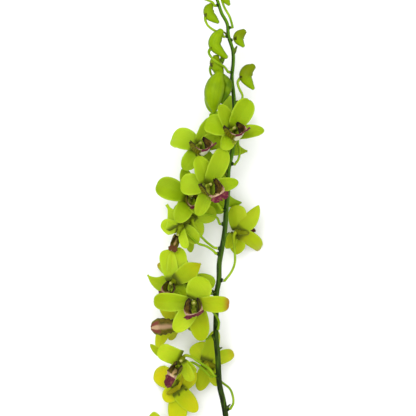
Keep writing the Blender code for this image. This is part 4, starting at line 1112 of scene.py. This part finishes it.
def bud_material(name, deep, bright):
    """Smooth skin of a bud: painted light makes it bright on top and deep at the sides; it is bronze by tint,
    and brown round its stalk's joint.
    """
    tree = Tree(name, 0.42)
    lit, bronze, brown = tree.tint()
    # Painted light and shade: lit mixes from the deep colour of the sides to the bright one of the top.
    colour = tree.mix(lit, deep, bright)
    colour = tree.lay(colour, (150, 178, 10), tree.patches(120.0, 0.4, 0.7), 0.25)
    colour = tree.lay(colour, (98, 108, 0), bronze)
    colour = tree.lay(colour, (70, 100, 0), tree.lines(7.0, 8.0, 0.02), 0.12)
    ragged = tree.step(tree.plus(brown, tree.wander(420.0, 1.6)), 0.4, 0.9)
    colour = tree.lay(colour, (52, 48, 10), ragged, tree.step(brown, 0.02, 0.3))
    return tree.grained(colour)


def rachis_material():
    """Dark green stem skin, lighter towards the tip, with painted light on its +x side and painted shade on
    its -x side, lengthwise streaks and small pale specks.
    """
    tree = Tree("rachis_skin", 0.42, 0.0)
    up = tree.step(tree.split(tree.where())[1], -0.17, 0.24)
    lit, _, _ = tree.tint()
    # Painted light and shade: lit mixes the dark colours of the shaded side with the bright ones of the lit
    # side.
    colour = tree.mix(lit, tree.mix(up, (18, 26, 8), (26, 54, 0)), tree.mix(up, (40, 56, 12), (84, 128, 6)))
    stretched = tree.nodes.new("ShaderNodeMapping")
    stretched.inputs["Scale"].default_value = (1.0, 0.08, 1.0)
    tree.links.new(tree.where(), stretched.inputs["Vector"])
    streaks = tree.noise(700.0, 3.0, stretched.outputs["Vector"])
    colour = tree.lay(colour, (76, 112, 6), tree.step(streaks, 0.45, 0.75), 0.5)
    colour = tree.lay(colour, (96, 92, 44), tree.patches(520.0, 0.68, 0.76, 1.0), 0.4)
    return tree.bumped(colour, streaks, 0.3, 0.0004)


def lip_tree(name, fray):
    """What both faces of a lip start from: the places along and across it, the way off its middle line,
    and the wandering that frays its seams."""
    tree = Tree(name, 0.5, 0.05)
    along, side = tree.place()
    off = tree.times(tree.off(side, 0.5), 2.0)
    wander = tree.wander(220.0, fray)
    return tree, along, side, tree.plus(off, wander), wander


def lobe_colours(tree, side, off):
    """The side lobes, alike on both faces: olive with dark veins on one side, maroon-brown on the other."""
    olive_right, _, dark = tree.tint()
    olive = tree.lay((98, 98, 2), (38, 38, 4), tree.lines(9.0, 3.0, 0.08), 0.6)
    brown = tree.mix(tree.patches(260.0, 0.35, 0.65), (56, 42, 18), (104, 82, 28))
    on_left = tree.step(side, 0.45, 0.55)
    share = tree.plus(tree.times(on_left, olive_right),
                      tree.times(tree.less(1.0, on_left), tree.less(1.0, olive_right)))
    colour = tree.mix(share, brown, olive)
    colour = tree.lay(colour, (34, 20, 18), tree.step(off, 0.84, 0.97))
    return tree.lay(colour, (34, 22, 14), dark, 0.6)


def lip_inner_material():
    """The inner face of the lip: cream keels, olive and maroon side lobes, purple middle lobe, and a dark
    throat that is partly painted shade.
    """
    tree, along, side, off, wander = lip_tree("lip_inner_skin", 0.3)
    lobes = tree.mix(tree.step(off, 0.06, 0.16), (180, 150, 96), lobe_colours(tree, side, off))
    # A dark throat near the root: partly the lip's own dark maroon, partly painted shade under the column.
    lobes = tree.lay(lobes, (40, 26, 12), tree.fall(along, 0.08, 0.3), 0.85)
    _, purple, dark = tree.tint()
    blush = tree.mix(tree.patches(300.0, 0.5, 0.7, 2.0), (88, 26, 46), (118, 66, 58))
    blush = tree.mix(purple, (84, 50, 26), blush)
    blush = tree.lay(blush, (44, 16, 26), dark, 0.6)
    ridge = tree.fall(tree.off(along, 0.69), 0.03, 0.07)
    in_middle = tree.fall(off, 0.35, 0.6)
    ridge = tree.times(ridge, tree.math("MAXIMUM", in_middle, tree.lines(7.0, 2.0, 0.04)))
    middle = tree.lay(blush, (206, 178, 142), ridge, purple)
    colour = tree.mix(tree.step(tree.plus(along, wander), 0.60, 0.68), lobes, middle)
    return tree.bumped(colour, tree.noise(900.0, 3.0), 0.35, 0.0003)


def lip_outer_material():
    """The outer face of the lip: cream claw and middle, olive and maroon side lobes, purple tip."""
    tree, along, side, off, wander = lip_tree("lip_outer_skin", 0.2)
    _, purple, dark = tree.tint()
    claw = tree.mix(purple, (160, 130, 98), (204, 204, 172))
    crisp = tree.times(purple, tree.step(off, 0.14, 0.28))
    soft = tree.times(tree.less(1.0, purple), tree.step(off, 0.02, 0.42))
    colour = tree.mix(tree.plus(crisp, soft), claw, lobe_colours(tree, side, off))
    worn = tree.mix(tree.step(off, 0.55, 0.85), (112, 58, 46), (88, 92, 20))
    worn = tree.mix(tree.step(off, 0.1, 0.35), (176, 146, 112), worn)
    teeth = tree.times(tree.fall(along, 0.7, 0.82), tree.lines(7.0, 2.0, 0.04))
    tip = tree.mix(purple, worn, tree.lay((92, 36, 50), (196, 168, 140), teeth, 0.8))
    tip = tree.lay(tip, (44, 16, 26), dark, 0.6)
    colour = tree.mix(tree.step(tree.plus(along, wander), 0.60, 0.72), colour, tip)
    return tree.bumped(colour, tree.noise(900.0, 3.0), 0.3, 0.0003)


def floor_material():
    """A plain pale floor."""
    tree = Tree("floor_paint", 0.75, 0.0)
    return tree.finish(tree.mix(tree.noise(30.0), (0.90, 0.90, 0.90, 1.0), (0.93, 0.93, 0.93, 1.0)))


# The chin turns yellower with age. A stalk has painted shade on one side, ages, and is brown where it meets a
# bud.
MATERIALS = {
    "tepal": tepal_material(),
    "column": plain_material("column_skin", 300.0, (96, 112, 10), (150, 160, 50)),
    # The first layer of the stalk skin is painted shade on one side.
    "stalk": plain_material("stalk_skin", 60.0, (104, 138, 2), (140, 168, 26), ((78, 110, 0), 0, 0.4),
                            ((150, 144, 4), 1, None), ((64, 50, 18), 2, 0.85)),
    "chin": plain_material("chin_skin", 90.0, (58, 76, 4), (98, 120, 8), ((140, 134, 4), 1, 0.8)),
    "cap": plain_material("anther_skin", 500.0, (128, 138, 40), (176, 172, 100)),
    "bud": bud_material("bud_skin", (60, 92, 0), (118, 148, 0)),
    "bud_dark": bud_material("bud_dark_skin", (34, 60, 0), (70, 104, 0)),
    "rachis": rachis_material(),
    "bract": plain_material("bract_skin", 200.0, (34, 50, 8), (88, 108, 22)),
    "pith": plain_material("pith_skin", 900.0, (150, 160, 96), (186, 192, 140)),
    "lip_inner": lip_inner_material(),
    "lip_outer": lip_outer_material(),
}


def area_light(name, where, power):
    """A soft square lamp that the camera doesn't see."""
    data = bpy.data.lights.new(name, "AREA")
    data.size = LAMP_SIZE
    data.energy = power
    made = added(name, data)
    made.location = where
    made.rotation_euler = (Vector(LAMP_TARGET) - Vector(where)).to_track_quat("-Z", "Y").to_euler()
    made.visible_camera = False


def stage():
    """The floor, the soft light and the camera above."""
    mesh = bpy.data.meshes.new("floor")
    corners = [(x * FLOOR_REACH, y * FLOOR_REACH, 0) for x, y in ((-1, -1), (1, -1), (1, 1), (-1, 1))]
    mesh.from_pydata(corners, [], [(0, 1, 2, 3)])
    mesh.materials.append(floor_material())
    floor = added("floor", mesh)
    world = bpy.data.worlds.new("studio")
    world.use_nodes = True
    nodes, links = world.node_tree.nodes, world.node_tree.links
    split = nodes.new("ShaderNodeSeparateXYZ")
    links.new(nodes.new("ShaderNodeTexCoord").outputs["Generated"], split.inputs[0])
    steep = nodes.new("ShaderNodeMath")
    steep.operation = "POWER"
    steep.use_clamp = True
    steep.inputs[1].default_value = SKY_STEEPNESS
    links.new(split.outputs[2], steep.inputs[0])
    level = nodes.new("ShaderNodeMapRange")
    level.inputs["To Min"].default_value = SKY_LOW
    level.inputs["To Max"].default_value = SKY_HIGH
    links.new(steep.outputs[0], level.inputs["Value"])
    nodes["Background"].inputs["Color"].default_value = (1.0, 1.0, 1.0, 1.0)
    links.new(level.outputs["Result"], nodes["Background"].inputs["Strength"])
    bpy.context.scene.world = world
    area_light("key", (-0.7, 0.7, 1.6), 15.0)
    area_light("fill", (0.9, -0.2, 1.3), 4.0)
    bpy.context.scene.view_settings.view_transform = "Standard"
    data = bpy.data.cameras.new("camera")
    data.lens = FOCAL_LENGTH
    data.sensor_width = SENSOR_WIDTH
    distance = IMAGE_WIDTH / SENSOR_WIDTH * FOCAL_LENGTH
    data.clip_start = 0.1
    data.clip_end = 20.0
    camera = added("camera", data)
    camera.location = place(IMAGE_MIDDLE, IMAGE_MIDDLE, SHARP_HEIGHT + distance)
    bpy.context.scene.camera = camera


stage()
rachis_piece()
for count, each in enumerate(BLOOMS):
    bloom_piece(each, count)
    lip_piece(each, count)
for count, each in enumerate(BUDS):
    bud_piece(each, count)
